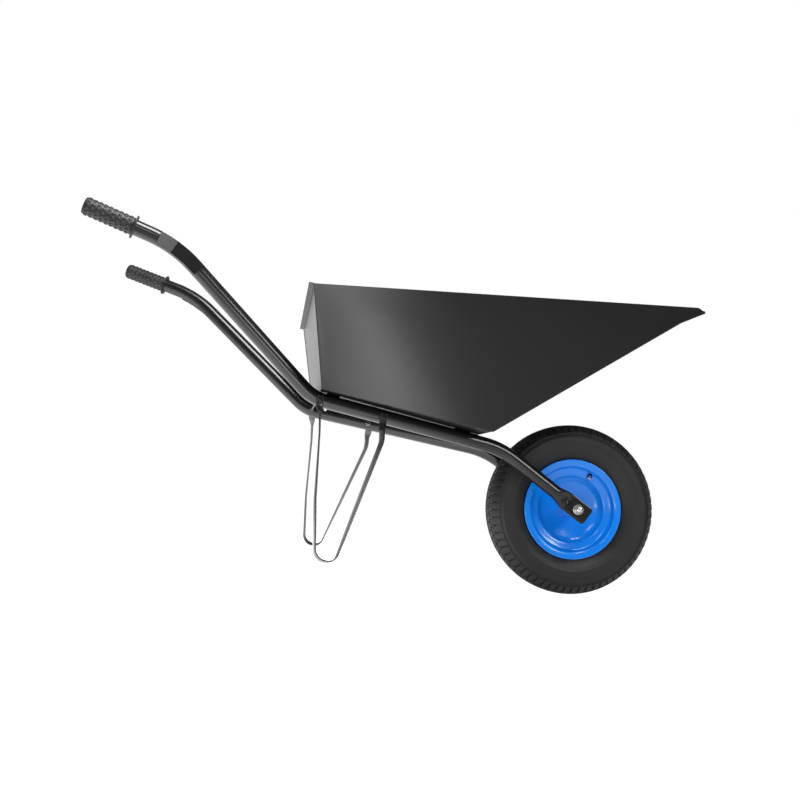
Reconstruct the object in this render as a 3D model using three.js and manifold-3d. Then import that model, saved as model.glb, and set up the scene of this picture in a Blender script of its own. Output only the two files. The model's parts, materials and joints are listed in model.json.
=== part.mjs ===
// A one-wheel garden wheelbarrow: two bent steel tubes carry a sheet steel tray,
// stand on two flat-bar legs and hold a pneumatic wheel between their flattened ends.
// Millimetres, +X towards the wheel, +Y to the left hand of the person pushing, +Z up.
// The origin is on the floor, under the middle of the barrow.

import * as THREE from 'three';
import { mergeVertices } from 'three/addons/utils/BufferGeometryUtils.js';
import Module from 'manifold-3d';

const wasm = await Module();
wasm.setup();

// ---------------------------------------------------------------- driving dimensions

const GAP = 0.3;                    // air left between pieces that touch
const AXLE_X = 487.4;               // axle ahead of the origin
const TYRE_RADIUS = 200;
const AXLE_Z = TYRE_RADIUS;         // the tyre stands on the floor

const TUBE_RADIUS = 16;
const TUBE_WALL = 1.8;
const TUBE_SIDES = 12;

// Corners of the right rail's centre line, from the grip end forward to the axle lug,
// as distances from the axle: forward, outward, and then the height above the floor.
const RAIL = {
  end: [-1167, 309.1, 623.4],
  upper: [-983, 284, 584.5],
  lower: [-652, 171, 337.3],
  front: [-205, 80, 308.1],
  axle: [0, 70, 200],
};
const RAIL_BENDS = { upper: 250, lower: 105, front: 185 };
const LUG = { thickness: 4, width: 44, tip: 30, length: 28, taper: 38, corner: 7 };

// Plate on the upper bend, in two flats that meet at a crease.
const PLATE = { thickness: 2.5, width: 29, drop: 2.5, rear: [-1018, -1000], crease: -984,
  front: [-958, -931] };
const GRIP = { length: 107, radius: 18.5, end: 4, chamfer: 3, flangeRadius: 24.5, flange: 3 };

const SHEET = 1.5;                  // tray sheet
const TRAY_HALF_BOTTOM = 236;       // half width at the floor of the tray
const TRAY_HALF_TOP = 307;          // half width at the rim
const TRAY = {                      // side outline: forward of the axle, above the floor
  rearTop: [-694, 557],
  rearBottom: [-638, 354.2],
  frontBottom: [-262, 329.2],
  lipStart: [92.6, 626.2],
  lipEnd: [141.4, 656.4],
  rimKink: [124, 663.9],
};
const REAR_LIP = { length: 11, droop: 0.2 };  // flange turned outwards along the rear wall

// Flat bars under the tray floor and the bolts that hold the floor to them.
const MEMBERS = {
  rear: { x: -608, width: 30, boltY: 118 },
  front: { x: -300, width: 40, boltY: 62 },
};
const MEMBER_THICKNESS = 5;
const MEMBER_INSET = 11.6;          // from the rail's centre line to the bar's end

const STRAP = { width: 16, thickness: 4 };    // flat bar of the legs
const TAB = { above: 10, below: 12 };       // flat ends against the rail
const LEG_BOLTS = { rear: -640, front: -495 };  // forward of the axle
const LEG = {                       // side view of a leg: forward of the axle, height
  rearTurned: [-631, 300], rearKnee: [-626, 266], rearMiddle: [-613, 125], rearFoot: [-595.4, 4.55],
  frontFoot: [-554, 4.55], frontKnee: [-488.5, 270], frontTurned: [-490.5, 291],
};
const FOOT_RADIUS = 24;
const KNEE_RADIUS = 60;
const FOOT = { x: -574, y: 293 };
const BRACE = { radius: 2.5, boss: 6.5, bossLength: 12, taper: 3, inset: 18.2 };  // tie between the rails

const BOLT = { tray: 3, leg: 3, axle: 6 };    // radii
const CLEARANCE = 0.35;             // hole radius over bolt radius
const NUT = { acrossFlats: 10, height: 5 };
const LEG_HEAD = 3;
const TRAY_HEAD = [[8, 0], [7, 1.7], [4, 3.3], [0, 3.7]];   // rounded head, from its rim inwards
const TRAY_SHANK = 14;

// Wheel: distances from the axle line and from the wheel's middle plane.
const HUB = { length: 104, outer: 19, inner: 16.3 };
const BEARING = { outer: 15.9, outerBore: 12.6, innerRim: 9.4, bore: 6.3, width: 10 };
const SPACER_RADIUS = 9;
const WASHER = { radius: 12, thickness: 2 };
const AXLE = { acrossFlats: 19, head: 7.5, nut: 10, shankEnd: 88 };
const RIM_SEGMENTS = 28;
const TYRE_SEGMENTS = 36;
const RIM_TYRE_SIDE = [[98, 0.15], [98, 12], [101.5, 18], [102, 27], [105, 30], [115, 31.6],
  [117.4, 33.2], [116.5, 34.4]];
const RIM_FACE = [[104, 33], [99.5, 28], [98.6, 25], [92, 20.5], [80, 18.8], [76, 14], [66, 8],
  [45, 3.4], [19.3, 2.7]];
const RIM_BACK = [[19.3, 0.15], [45, 0.4], [67, 4.8], [78, 11], [83, 16.2], [93, 18], [96, 12.5],
  [96, 0.15]];
const TYRE_OUTSIDE = [[102.6, 19.5], [102.6, 26], [112, 29.6], [118.2, 31.2], [124, 38], [140, 48],
  [158, 50], [175, 48], [187, 43], [195, 33], [TYRE_RADIUS, 12]];
const TYRE_INSIDE = [[190, 12], [184, 30], [158, 42], [124, 34], [106, 23]];
const INNER_TUBE = { ring: 146, tall: 37.4, wide: 34, wall: 2, sides: 10, segments: 24 };
const VALVE = {                     // straight stem through the corner of the right rim half
  turn: 1.203,                      // about the axle, from +X towards +Z
  base: [112, -1.4], tip: [82.5, -28.4], radius: 3.2, hole: 4.6,
  capRadius: 4.4, capLength: 7, capCover: 5.5,
};

// ---------------------------------------------------------------- finishes

const paint = (color, roughness, metalness) =>
  new THREE.MeshStandardMaterial({ color, roughness, metalness });
const FINISH = {
  frame: paint(0x2b2a2c, 0.35, 0.1),
  tray: paint(0x3c3b3d, 0.3, 0.1),
  grip: paint(0x2e2e30, 0.75, 0),
  zinc: paint(0xc9ccd0, 0.3, 0.9),
  rim: paint(0x147ae6, 0.25, 0),
  rubber: paint(0x38373a, 0.85, 0),
  steel: paint(0x8d9095, 0.35, 0.9),
};

// ---------------------------------------------------------------- solids

function solid(geometry) {
  const bare = geometry.clone();
  bare.deleteAttribute('normal');
  bare.deleteAttribute('uv');
  const merged = mergeVertices(bare, 1e-3);
  const corners = merged.index.array;
  const triVerts = [];
  for (let i = 0; i < corners.length; i += 3) {
    const [p, q, r] = corners.slice(i, i + 3);
    if (p !== q && q !== r && r !== p) triVerts.push(p, q, r);
  }
  return new wasm.Manifold(new wasm.Mesh({
    numProp: 3,
    vertProperties: Float32Array.from(merged.attributes.position.array),
    triVerts: Uint32Array.from(triVerts),
  }));
}

function shell(body) {
  const { vertProperties, triVerts } = body.getMesh();
  const geometry = new THREE.BufferGeometry();
  geometry.setAttribute('position', new THREE.BufferAttribute(vertProperties, 3));
  geometry.setIndex(new THREE.BufferAttribute(triVerts, 1));
  return geometry;
}

const cut = (geometry, tools) =>
  shell(tools.reduce((body, tool) => body.subtract(solid(tool)), solid(geometry)));
const join = (geometry, more) =>
  shell(more.reduce((body, piece) => body.add(solid(piece)), solid(geometry)));

// The same piece on the other side of the barrow.
const mirrored = (geometry) => shell(solid(geometry).mirror([0, 1, 0]));

// Calls move(vertex) on every vertex of a geometry.
function reshape(geometry, move) {
  const p = geometry.attributes.position;
  const vertex = new THREE.Vector3();
  for (let i = 0; i < p.count; i += 1) {
    move(vertex.fromBufferAttribute(p, i));
    p.setXYZ(i, vertex.x, vertex.y, vertex.z);
  }
  return geometry;
}

const vec = (x, y, z) => new THREE.Vector3(x, y, z);
const mixed = (a, b, t) => a.clone().lerp(b, t);
const moved = (point, way, distance) => point.clone().addScaledVector(way, distance);
const between = (from, to) => to.clone().sub(from).normalize();

// A point of the right-hand side, given forward of the axle, outward, above the floor.
const rightSide = ([x, outward, z]) => vec(AXLE_X + x, -outward, z);

function cylinder(radius, from, to, sides = 12) {
  const geometry = new THREE.CylinderGeometry(radius, radius, from.distanceTo(to), sides);
  geometry.applyQuaternion(
    new THREE.Quaternion().setFromUnitVectors(vec(0, 1, 0), between(from, to)));
  const middle = mixed(from, to, 0.5);
  return geometry.translate(middle.x, middle.y, middle.z);
}

function hexagon(acrossFlats, from, to) {
  return cylinder(acrossFlats / Math.sqrt(3), from, to, 6);
}

// The other half of an outline that is the same on both sides of its middle.
const flipped = (points) => points.map(([r, y]) => [r, -y]).reverse();

// A solid turned about the Y axis; its outline is a loop of [radius, y] points.
function turned(points, segments = 24) {
  const loop = points.map(([r, y]) => new THREE.Vector2(r, y));
  if (THREE.ShapeUtils.isClockWise(loop)) loop.reverse();
  return new THREE.LatheGeometry([...loop, loop[0]], segments);
}

// A plain ring about the Y axis, from one distance along it to another.
function ring(inner, outer, low, high, segments = 16) {
  return turned([[inner, low], [outer, low], [outer, high], [inner, high]], segments);
}

// ---------------------------------------------------------------- bent bars and tubes

// A route of straight runs and arcs that has points only where it turns.
// widths, where given, are the directions in which a flat bar's width lies.
class Route extends THREE.Curve {
  constructor(points, widths) {
    super();
    this.stops = points;
    this.widths = widths;
  }

  stopAt(u) {
    return Math.round(u * (this.stops.length - 1));
  }

  getPointAt(u) {
    return this.stops[this.stopAt(u)].clone();
  }

  getTangentAt(u) {
    const i = this.stopAt(u);
    const before = this.stops[Math.max(i - 1, 0)];
    const here = this.stops[i];
    const after = this.stops[Math.min(i + 1, this.stops.length - 1)];
    const arriving = here.clone().sub(before).normalize();
    const leaving = after.clone().sub(here).normalize();
    return arriving.add(leaving).normalize();
  }

  getSpacedPoints(divisions) {
    return Array.from({ length: divisions + 1 }, (_, i) => this.getPointAt(i / divisions));
  }

  computeFrenetFrames(segments, closed) {
    if (!this.widths) return super.computeFrenetFrames(segments, closed);
    const tangents = this.stops.map((_, i) => this.getTangentAt(i / segments));
    const normals = this.widths.map((width, i) => {
      const along = tangents[i].clone().multiplyScalar(width.dot(tangents[i]));
      return width.clone().sub(along).normalize();
    });
    const binormals = tangents.map((tangent, i) => tangent.clone().cross(normals[i]));
    return { tangents, normals, binormals };
  }

  get steps() {
    return this.stops.length - 1;
  }
}

// Points along straight runs between corners, each corner rounded by its own radius.
function rounded(corners, radii, arcSteps) {
  const points = [corners[0]];
  for (let i = 1; i < corners.length - 1; i += 1) {
    const arriving = corners[i].clone().sub(corners[i - 1]).normalize();
    const leaving = corners[i + 1].clone().sub(corners[i]).normalize();
    const turn = arriving.angleTo(leaving);
    const radius = radii[i - 1];
    const start = corners[i].clone().addScaledVector(arriving, -radius * Math.tan(turn / 2));
    const inward = leaving.clone().addScaledVector(arriving, -Math.cos(turn)).normalize();
    for (let k = 0; k <= arcSteps; k += 1) {
      const angle = (turn * k) / arcSteps;
      points.push(start.clone()
        .addScaledVector(arriving, radius * Math.sin(angle))
        .addScaledVector(inward, radius * (1 - Math.cos(angle))));
    }
  }
  points.push(corners[corners.length - 1]);
  return points;
}

function circleShape(radius, sides = TUBE_SIDES) {
  const points = Array.from({ length: sides }, (_, i) => {
    const angle = (2 * Math.PI * i) / sides;
    return new THREE.Vector2(radius * Math.cos(angle), radius * Math.sin(angle));
  });
  return new THREE.Shape(points);
}

function barShape(width, thickness) {
  const corners = [[-1, -1], [1, -1], [1, 1], [-1, 1]];
  return new THREE.Shape(corners.map(([x, y]) =>
    new THREE.Vector2((x * width) / 2, (y * thickness) / 2)));
}

function swept(shape, route) {
  return new THREE.ExtrudeGeometry(shape, { steps: route.steps, extrudePath: route });
}

// ---------------------------------------------------------------- the rails

const [railEnd, railUpper, railLower, railFront, railAxle] =
  ['end', 'upper', 'lower', 'front', 'axle'].map((name) => rightSide(RAIL[name]));
const handleWay = between(railEnd, railUpper);
const noseWay = between(railFront, railAxle);
const railTip = moved(railAxle, noseWay, LUG.tip);
const railLine = rounded([railEnd, railUpper, railLower, railFront, railTip],
  [RAIL_BENDS.upper, RAIL_BENDS.lower, RAIL_BENDS.front], 5);

// Where the rail's centre line passes a distance from the axle, and the way it runs there.
function railAt(x) {
  const i = railLine.findIndex((p) => p.x > AXLE_X + x);
  const [from, to] = [railLine[i - 1], railLine[i]];
  const centre = mixed(from, to, (AXLE_X + x - from.x) / (to.x - from.x));
  return { centre, way: between(from, to) };
}

// The horizontal direction square to the right rail that points away from the barrow.
const outside = (way) => vec(way.y, -way.x, 0).normalize();

const smooth = (t) => t * t * (3 - 2 * t);

// Squeezes the tube's front end to a flat plate square to the axle.
function flattened(geometry) {
  const across = vec(0, 1, 0).addScaledVector(noseWay, -noseWay.y).normalize();
  const upward = noseWay.clone().cross(across);
  return reshape(geometry, (v) => {
    const offset = v.clone().sub(railAxle);
    const along = offset.dot(noseWay);
    const ease = smooth(THREE.MathUtils.clamp((along + LUG.length + LUG.taper) / LUG.taper, 0, 1));
    if (ease === 0) return;
    const thin = THREE.MathUtils.lerp(1, LUG.thickness / 2 / TUBE_RADIUS, ease);
    const rounding = Math.max(0, along - LUG.tip + LUG.corner);
    const wide = THREE.MathUtils.lerp(1, (LUG.width / 2 - rounding) / TUBE_RADIUS, ease);
    const [a, b] = [offset.dot(across) * thin, offset.dot(upward) * wide];
    v.copy(railAxle).addScaledVector(noseWay, along).addScaledVector(across, a)
      .addScaledVector(upward, b);
    v.y = THREE.MathUtils.lerp(v.y, railAxle.y + a, ease);
  });
}

function rightRail() {
  const upToLug = railLine.slice(0, -1);
  const squeeze = [1, 0.75, 0.5, 0.25, 0].map((t) =>
    moved(railAxle, noseWay, -LUG.length - LUG.taper * t));
  const lugCorner = moved(railTip, noseWay, -LUG.corner);
  const outer = flattened(swept(circleShape(TUBE_RADIUS),
    new Route([...upToLug, ...squeeze, lugCorner, railTip])));
  const openEnd = moved(railEnd, handleWay, -TUBE_WALL);
  const bore = swept(circleShape(TUBE_RADIUS - TUBE_WALL),
    new Route([openEnd, ...upToLug.slice(1), squeeze[0]]));
  const side = vec(0, 2 * TUBE_RADIUS, 0);
  const axleHole = cylinder(BOLT.axle + CLEARANCE,
    railAxle.clone().sub(side), railAxle.clone().add(side), 16);
  const legHoles = Object.keys(LEG_BOLTS).map((name) =>
    legCylinder(name, BOLT.leg + CLEARANCE, -2 * TUBE_RADIUS, 2 * TUBE_RADIUS));
  return cut(outer, [bore, axleHole, ...legHoles]);
}

// Stiffening plate on the outside of the upper bend: two flats, one along the handle and
// one along the drop, that meet at a crease square to the bend.
function rightBendPlate() {
  const reach = TUBE_RADIUS + GAP + PLATE.thickness / 2;
  const dropWay = between(railUpper, railLower);
  const middleWay = handleWay.clone().add(dropWay).normalize();
  const crease = middleWay.clone().cross(outside(middleWay));
  const [rearFace, frontFace] = [handleWay, dropWay].map((way) =>
    crease.clone().cross(way).normalize());
  const flatStop = (x, face) => {
    const { centre, way } = railAt(x);
    const lift = reach + railUpper.clone().sub(centre).dot(face);
    const width = way.clone().cross(face);
    return { at: moved(moved(centre, face, lift), width, PLATE.drop), width };
  };
  const alongCrease = railAt(PLATE.crease).centre.sub(railUpper).dot(crease) + PLATE.drop;
  const corner = moved(railUpper, crease, alongCrease).addScaledVector(
    rearFace.clone().add(frontFace), reach / (1 + rearFace.dot(frontFace)));
  const stops = [...PLATE.rear.map((x) => flatStop(x, rearFace)), { at: corner, width: crease },
    ...PLATE.front.map((x) => flatStop(x, frontFace))];
  return swept(barShape(PLATE.width, PLATE.thickness),
    new Route(stops.map(({ at }) => at), stops.map(({ width }) => width)));
}

// ---------------------------------------------------------------- grips

function rightGrip() {
  const bore = TUBE_RADIUS + GAP;
  const flangeStart = GRIP.length - GRIP.end - GRIP.flange;
  const grip = turned([
    [0, -GRIP.end], [GRIP.radius - GRIP.chamfer, -GRIP.end], [GRIP.radius, GRIP.chamfer - GRIP.end],
    [GRIP.radius, flangeStart], [GRIP.flangeRadius, flangeStart],
    [GRIP.flangeRadius, flangeStart + GRIP.flange], [bore, flangeStart + GRIP.flange],
    [bore, -GAP], [0, -GAP],
  ], 20);
  grip.applyQuaternion(new THREE.Quaternion().setFromUnitVectors(vec(0, 1, 0), handleWay));
  return grip.translate(railEnd.x, railEnd.y, railEnd.z);
}

// ---------------------------------------------------------------- the tray

const outline = Object.fromEntries(
  Object.entries(TRAY).map(([name, [x, z]]) => [name, new THREE.Vector2(AXLE_X + x, z)]));
const height = (a, b, x) => a.y + ((x - a.x) * (b.y - a.y)) / (b.x - a.x);
const floorAt = (x) => height(outline.rearBottom, outline.frontBottom, x);
const floorTilt = outline.frontBottom.clone().sub(outline.rearBottom).angle();

// Half width of the tray at a point of its side view: a straight line from the floor's
// edge to the rim's edge.
function trayHalfWidth(x, z) {
  const low = floorAt(x);
  const high = height(outline.rearTop, outline.rimKink, x);
  return THREE.MathUtils.mapLinear(z, low, high, TRAY_HALF_BOTTOM, TRAY_HALF_TOP);
}

// Moves each point of an open outline sideways by a distance, keeping its bends.
function offsetLine(points, distance) {
  return points.map((point, i) => {
    const before = points[Math.max(i - 1, 0)];
    const after = points[Math.min(i + 1, points.length - 1)];
    const a = point.clone().sub(before).normalize();
    const b = after.clone().sub(point).normalize();
    const normal = new THREE.Vector2(-(a.y + b.y), a.x + b.x).normalize();
    const isEnd = i === 0 || i === points.length - 1;
    const lean = isEnd ? 1 : Math.cos(a.angleTo(b) / 2);
    return point.clone().addScaledVector(normal, distance / lean);
  });
}

// Rear wall, floor, front wall and pouring lip, bent from one sheet.
function traySheet() {
  const wall = outline.rearTop.clone().sub(outline.rearBottom).normalize();
  const out = new THREE.Vector2(-wall.y, REAR_LIP.droop * wall.x);
  const lip = outline.rearTop.clone().addScaledVector(out, REAR_LIP.length);
  const line = [lip, outline.rearTop, outline.rearBottom, outline.frontBottom,
    outline.lipStart, outline.lipEnd];
  const section = new THREE.Shape([...line, ...offsetLine(line, SHEET).reverse()]);
  const sheet = new THREE.ExtrudeGeometry(section, { depth: 2, steps: 1, bevelEnabled: false });
  reshape(sheet, (v) => {
    const half = trayHalfWidth(v.x, v.y) - GAP / 2;
    v.set(v.x, (1 - v.z) * half, v.y);
  });
  return cut(sheet, trayBoltHoles('rear').concat(trayBoltHoles('front')));
}

function trayRightSide() {
  const names = ['rearTop', 'rearBottom', 'frontBottom', 'lipStart', 'lipEnd', 'rimKink'];
  const shape = new THREE.Shape(names.map((name) => outline[name]));
  const panel = new THREE.ExtrudeGeometry(shape, { depth: SHEET, steps: 1, bevelEnabled: false });
  return reshape(panel, (v) => v.set(v.x, -trayHalfWidth(v.x, v.y) - GAP / 2 - v.z, v.y));
}

// ---------------------------------------------------------------- under the tray floor

// Moves a piece built about the origin to a place under the tray floor, square to it.
function onFloor(geometry, x, y) {
  return geometry.rotateY(-floorTilt).translate(AXLE_X + x, y, floorAt(AXLE_X + x));
}

const upright = (geometry) => geometry.rotateX(Math.PI / 2);

function trayBoltHoles(name) {
  const { x, boltY } = MEMBERS[name];
  return [-boltY, boltY].map((y) => onFloor(
    upright(ring(0, BOLT.tray + CLEARANCE, -TRAY_SHANK, TRAY_SHANK, 12)), x, y));
}

// A flat bar between the rails; its ends follow them.
function crossMember(name) {
  const { x, width } = MEMBERS[name];
  const bar = new THREE.BoxGeometry(width, 2, MEMBER_THICKNESS);
  bar.translate(0, 0, -GAP - MEMBER_THICKNESS / 2);
  onFloor(bar, x, 0);
  reshape(bar, (v) => {
    const end = -railAt(v.x - AXLE_X).centre.y - MEMBER_INSET;
    v.setY(v.y * end);
  });
  return cut(bar, trayBoltHoles(name));
}

// Round-head bolt through the tray floor and the cross member under it.
function rightTrayBolt(name) {
  const seat = SHEET + GAP;
  const head = TRAY_HEAD.map(([r, h]) => [r, seat + h]);
  const profile = [[0, -TRAY_SHANK], [BOLT.tray, -TRAY_SHANK], [BOLT.tray, seat], ...head];
  return onFloor(upright(turned(profile, 12)), MEMBERS[name].x, -MEMBERS[name].boltY);
}

function rightTrayNut(name) {
  const top = -2 * GAP - MEMBER_THICKNESS;
  const nut = hexagon(NUT.acrossFlats, vec(0, 0, top - NUT.height), vec(0, 0, top));
  return cut(onFloor(nut, MEMBERS[name].x, -MEMBERS[name].boltY), trayBoltHoles(name));
}

// ---------------------------------------------------------------- legs

// Each leg is a flat bar bent to a loop in a plane that follows the rail and splays
// outwards; its two ends are twisted flat against the outside of the rail.
const tabOffset = TUBE_RADIUS + GAP + STRAP.thickness / 2;
const legSeats = Object.fromEntries(Object.entries(LEG_BOLTS).map(([name, x]) => {
  const { centre, way } = railAt(x);
  return [name, { centre, way, out: outside(way), tab: moved(centre, outside(way), tabOffset) }];
}));
const footPoint = vec(AXLE_X + FOOT.x, -FOOT.y, STRAP.thickness / 2);
const legNormal = legSeats.front.tab.clone().sub(legSeats.rear.tab)
  .cross(footPoint.clone().sub(legSeats.rear.tab)).normalize();

// The point of the leg's plane with a given place in the side view.
function inLegPlane([x, z]) {
  const point = vec(AXLE_X + x, 0, z);
  point.y = (footPoint.clone().sub(point).dot(legNormal)) / legNormal.y;
  return point;
}

// A round bar along a leg bolt, from one distance outside the rail's centre to another.
function legCylinder(name, radius, from, to) {
  const { centre, out } = legSeats[name];
  return cylinder(radius, moved(centre, out, from), moved(centre, out, to));
}

function tabStops({ tab }, turned90) {
  const low = tab.clone().add(vec(0, 0, -TAB.below));
  return [tab.clone().add(vec(0, 0, TAB.above)), low, mixed(low, turned90, 0.5), turned90];
}

function rightLeg() {
  const loop = rounded([LEG.rearTurned, LEG.rearKnee, LEG.rearMiddle, LEG.rearFoot, LEG.frontFoot,
    LEG.frontKnee, LEG.frontTurned].map(inLegPlane),
  [KNEE_RADIUS, 2 * KNEE_RADIUS, FOOT_RADIUS, FOOT_RADIUS, KNEE_RADIUS], 4);
  const rear = tabStops(legSeats.rear, loop[0]);
  const front = tabStops(legSeats.front, loop[loop.length - 1]).reverse();
  const flat = { rear: legSeats.rear.way, front: legSeats.front.way };
  const half = (name) => mixed(flat[name], legNormal, 0.5).normalize();
  const widths = [flat.rear, flat.rear, half('rear'), ...loop.map(() => legNormal),
    half('front'), flat.front, flat.front];
  const stops = [...rear.slice(0, -1), ...loop, ...front.slice(1)];
  const bar = swept(barShape(STRAP.width, STRAP.thickness), new Route(stops, widths));
  return cut(bar, Object.keys(LEG_BOLTS).map((name) =>
    legCylinder(name, BOLT.leg + CLEARANCE, TUBE_RADIUS, 2 * tabOffset)));
}

function rightLegBolt(name) {
  const { centre, out } = legSeats[name];
  const face = tabOffset + STRAP.thickness / 2 + GAP;
  const head = hexagon(NUT.acrossFlats, moved(centre, out, face), moved(centre, out, face + LEG_HEAD));
  const end = -TUBE_RADIUS - GAP - NUT.height - BOLT.leg;
  return join(head, [legCylinder(name, BOLT.leg, end, face + 1)]);
}

function rightLegNut(name) {
  const { centre, out } = legSeats[name];
  const face = -TUBE_RADIUS - GAP;
  const nut = hexagon(NUT.acrossFlats, moved(centre, out, face - NUT.height), moved(centre, out, face));
  return cut(nut, [legCylinder(name, BOLT.leg + CLEARANCE, face - 2 * NUT.height, face + NUT.height)]);
}

// Thin round tie between the rails; the rear leg bolts screw into the boss at each end.
function legBrace() {
  const { centre } = legSeats.rear;
  const end = -centre.y - BRACE.inset;
  const bossEnd = end - BRACE.bossLength;
  const half = [[0, end], [BRACE.boss, end], [BRACE.boss, bossEnd],
    [BRACE.radius, bossEnd - BRACE.taper]];
  const tie = turned([...half, ...flipped(half)], 12).translate(centre.x, 0, centre.z);
  const bore = legCylinder('rear', BOLT.leg + CLEARANCE, -2 * TUBE_RADIUS, 0);
  return cut(tie, [bore, mirrored(bore)]);
}

// ---------------------------------------------------------------- the wheel

// Built about the Y axis with its middle plane at y = 0, and placed at the axle.

const tyre = () => turned([...TYRE_OUTSIDE, ...flipped(TYRE_OUTSIDE),
  ...flipped(TYRE_INSIDE), ...TYRE_INSIDE], TYRE_SEGMENTS);

// One pressed half of the rim: bead seat and rolled flange, then the dish and hub plate.
const leftRimHalf = () => turned([...RIM_TYRE_SIDE, ...RIM_FACE, ...RIM_BACK], RIM_SEGMENTS);
const rightRimHalf = () => cut(mirrored(leftRimHalf()), [valveRod(VALVE.hole, VALVE.base, VALVE.tip)]);

// A round rod beside the valve's line, between two points given as [radius, y].
function valveRod(radius, from, to) {
  const [a, b] = [from, to].map(([r, y]) =>
    vec(r * Math.cos(VALVE.turn), y, r * Math.sin(VALVE.turn)));
  return cylinder(radius, a, b);
}

const valveStem = () => valveRod(VALVE.radius, VALVE.base, VALVE.tip);

function valveCap() {
  const [base, tip] = [VALVE.base, VALVE.tip].map(([r, y]) => new THREE.Vector2(r, y));
  const outward = tip.clone().sub(base).normalize();
  const at = (distance) => tip.clone().addScaledVector(outward, distance).toArray();
  const inner = at(-VALVE.capCover);
  const cap = valveRod(VALVE.capRadius, inner, at(VALVE.capLength - VALVE.capCover));
  return cut(cap, [valveRod(VALVE.radius + GAP, VALVE.base, at(GAP))]);
}

function innerTube() {
  const { ring: centre, tall, wide, wall, sides, segments } = INNER_TUBE;
  const hoop = (inset) => turned(Array.from({ length: sides }, (_, i) => {
    const angle = (2 * Math.PI * i) / sides;
    return [centre + (tall - inset) * Math.cos(angle), (wide - inset) * Math.sin(angle)];
  }), segments);
  return cut(hoop(0), [hoop(wall), valveRod(VALVE.radius + GAP, VALVE.base, VALVE.tip)]);
}

const hubEnd = HUB.length / 2;
const bearingSeat = hubEnd - BEARING.width;
const lugInner = RAIL.axle[1] - LUG.thickness / 2;
const lugOuter = RAIL.axle[1] + LUG.thickness / 2;
const washerOuter = lugOuter + GAP + WASHER.thickness;

// Bolt with its head on the left and its nut on the right of the fork.
function axleBolt() {
  const face = washerOuter + GAP;
  const head = hexagon(AXLE.acrossFlats, vec(0, face, 0), vec(0, face + AXLE.head, 0));
  return join(head, [ring(0, BOLT.axle, -AXLE.shankEnd, face + 1)]);
}

function axleNut() {
  const face = -washerOuter - GAP;
  const nut = hexagon(AXLE.acrossFlats, vec(0, face - AXLE.nut, 0), vec(0, face, 0));
  return cut(nut, [ring(0, BOLT.axle + CLEARANCE, face - 2 * AXLE.nut, face + AXLE.nut)]);
}

// ---------------------------------------------------------------- assembly

const barrow = new THREE.Group();
const axle = new THREE.Group();
const wheel = new THREE.Group();
for (const group of [axle, wheel]) {
  group.position.set(AXLE_X, 0, AXLE_Z);
  barrow.add(group);
}

function place(name, geometry, material, parent = barrow) {
  const mesh = new THREE.Mesh(shell(solid(geometry)), material);
  mesh.name = name;
  parent.add(mesh);
}

function placePair(name, rightGeometry, material, parent) {
  place(`right_${name}`, rightGeometry, material, parent);
  place(`left_${name}`, mirrored(rightGeometry), material, parent);
}

placePair('rail', rightRail(), FINISH.frame);
placePair('bend_plate', rightBendPlate(), FINISH.frame);
placePair('grip', rightGrip(), FINISH.grip);
place('tray_sheet', traySheet(), FINISH.tray);
placePair('tray_side', trayRightSide(), FINISH.tray);
placePair('leg', rightLeg(), FINISH.frame);
place('leg_brace', legBrace(), FINISH.frame);
for (const name of ['rear', 'front']) {
  place(`${name}_cross_member`, crossMember(name), FINISH.frame);
  placePair(`${name}_leg_bolt`, rightLegBolt(name), FINISH.frame);
  placePair(`${name}_tray_bolt`, rightTrayBolt(name), FINISH.zinc);
  placePair(`${name}_tray_nut`, rightTrayNut(name), FINISH.zinc);
}
placePair('front_leg_nut', rightLegNut('front'), FINISH.zinc);

place('axle_bolt', axleBolt(), FINISH.zinc, axle);
place('axle_nut', axleNut(), FINISH.zinc, axle);
placePair('axle_washer', ring(BEARING.bore, WASHER.radius, -washerOuter, -lugOuter - GAP),
  FINISH.zinc, axle);
placePair('axle_spacer', ring(BEARING.bore, SPACER_RADIUS, GAP - lugInner, -hubEnd - GAP),
  FINISH.steel, axle);
place('hub_spacer', ring(BEARING.bore, SPACER_RADIUS, GAP - bearingSeat, bearingSeat - GAP),
  FINISH.steel, axle);
placePair('bearing_inner_race', ring(BEARING.bore, BEARING.innerRim, -hubEnd, -bearingSeat),
  FINISH.steel, axle);

placePair('bearing_outer_race', ring(BEARING.outerBore, BEARING.outer, -hubEnd, -bearingSeat),
  FINISH.steel, wheel);
place('hub_sleeve', ring(HUB.inner, HUB.outer, -hubEnd, hubEnd), FINISH.rim, wheel);
place('left_rim_half', leftRimHalf(), FINISH.rim, wheel);
place('right_rim_half', rightRimHalf(), FINISH.rim, wheel);
place('tyre', tyre(), FINISH.rubber, wheel);
place('inner_tube', innerTube(), FINISH.rubber, wheel);
place('valve_stem', valveStem(), FINISH.zinc, wheel);
place('valve_cap', valveCap(), FINISH.zinc, wheel);

export default barrow;
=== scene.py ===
"""A one-wheel garden wheelbarrow, built on its CAD frame.

Everything is in metres in the frame's own axes: +X towards the wheel, +Y to the left hand
of the person pushing, +Z up, with the origin on the floor under the middle of the barrow.
"""

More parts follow.
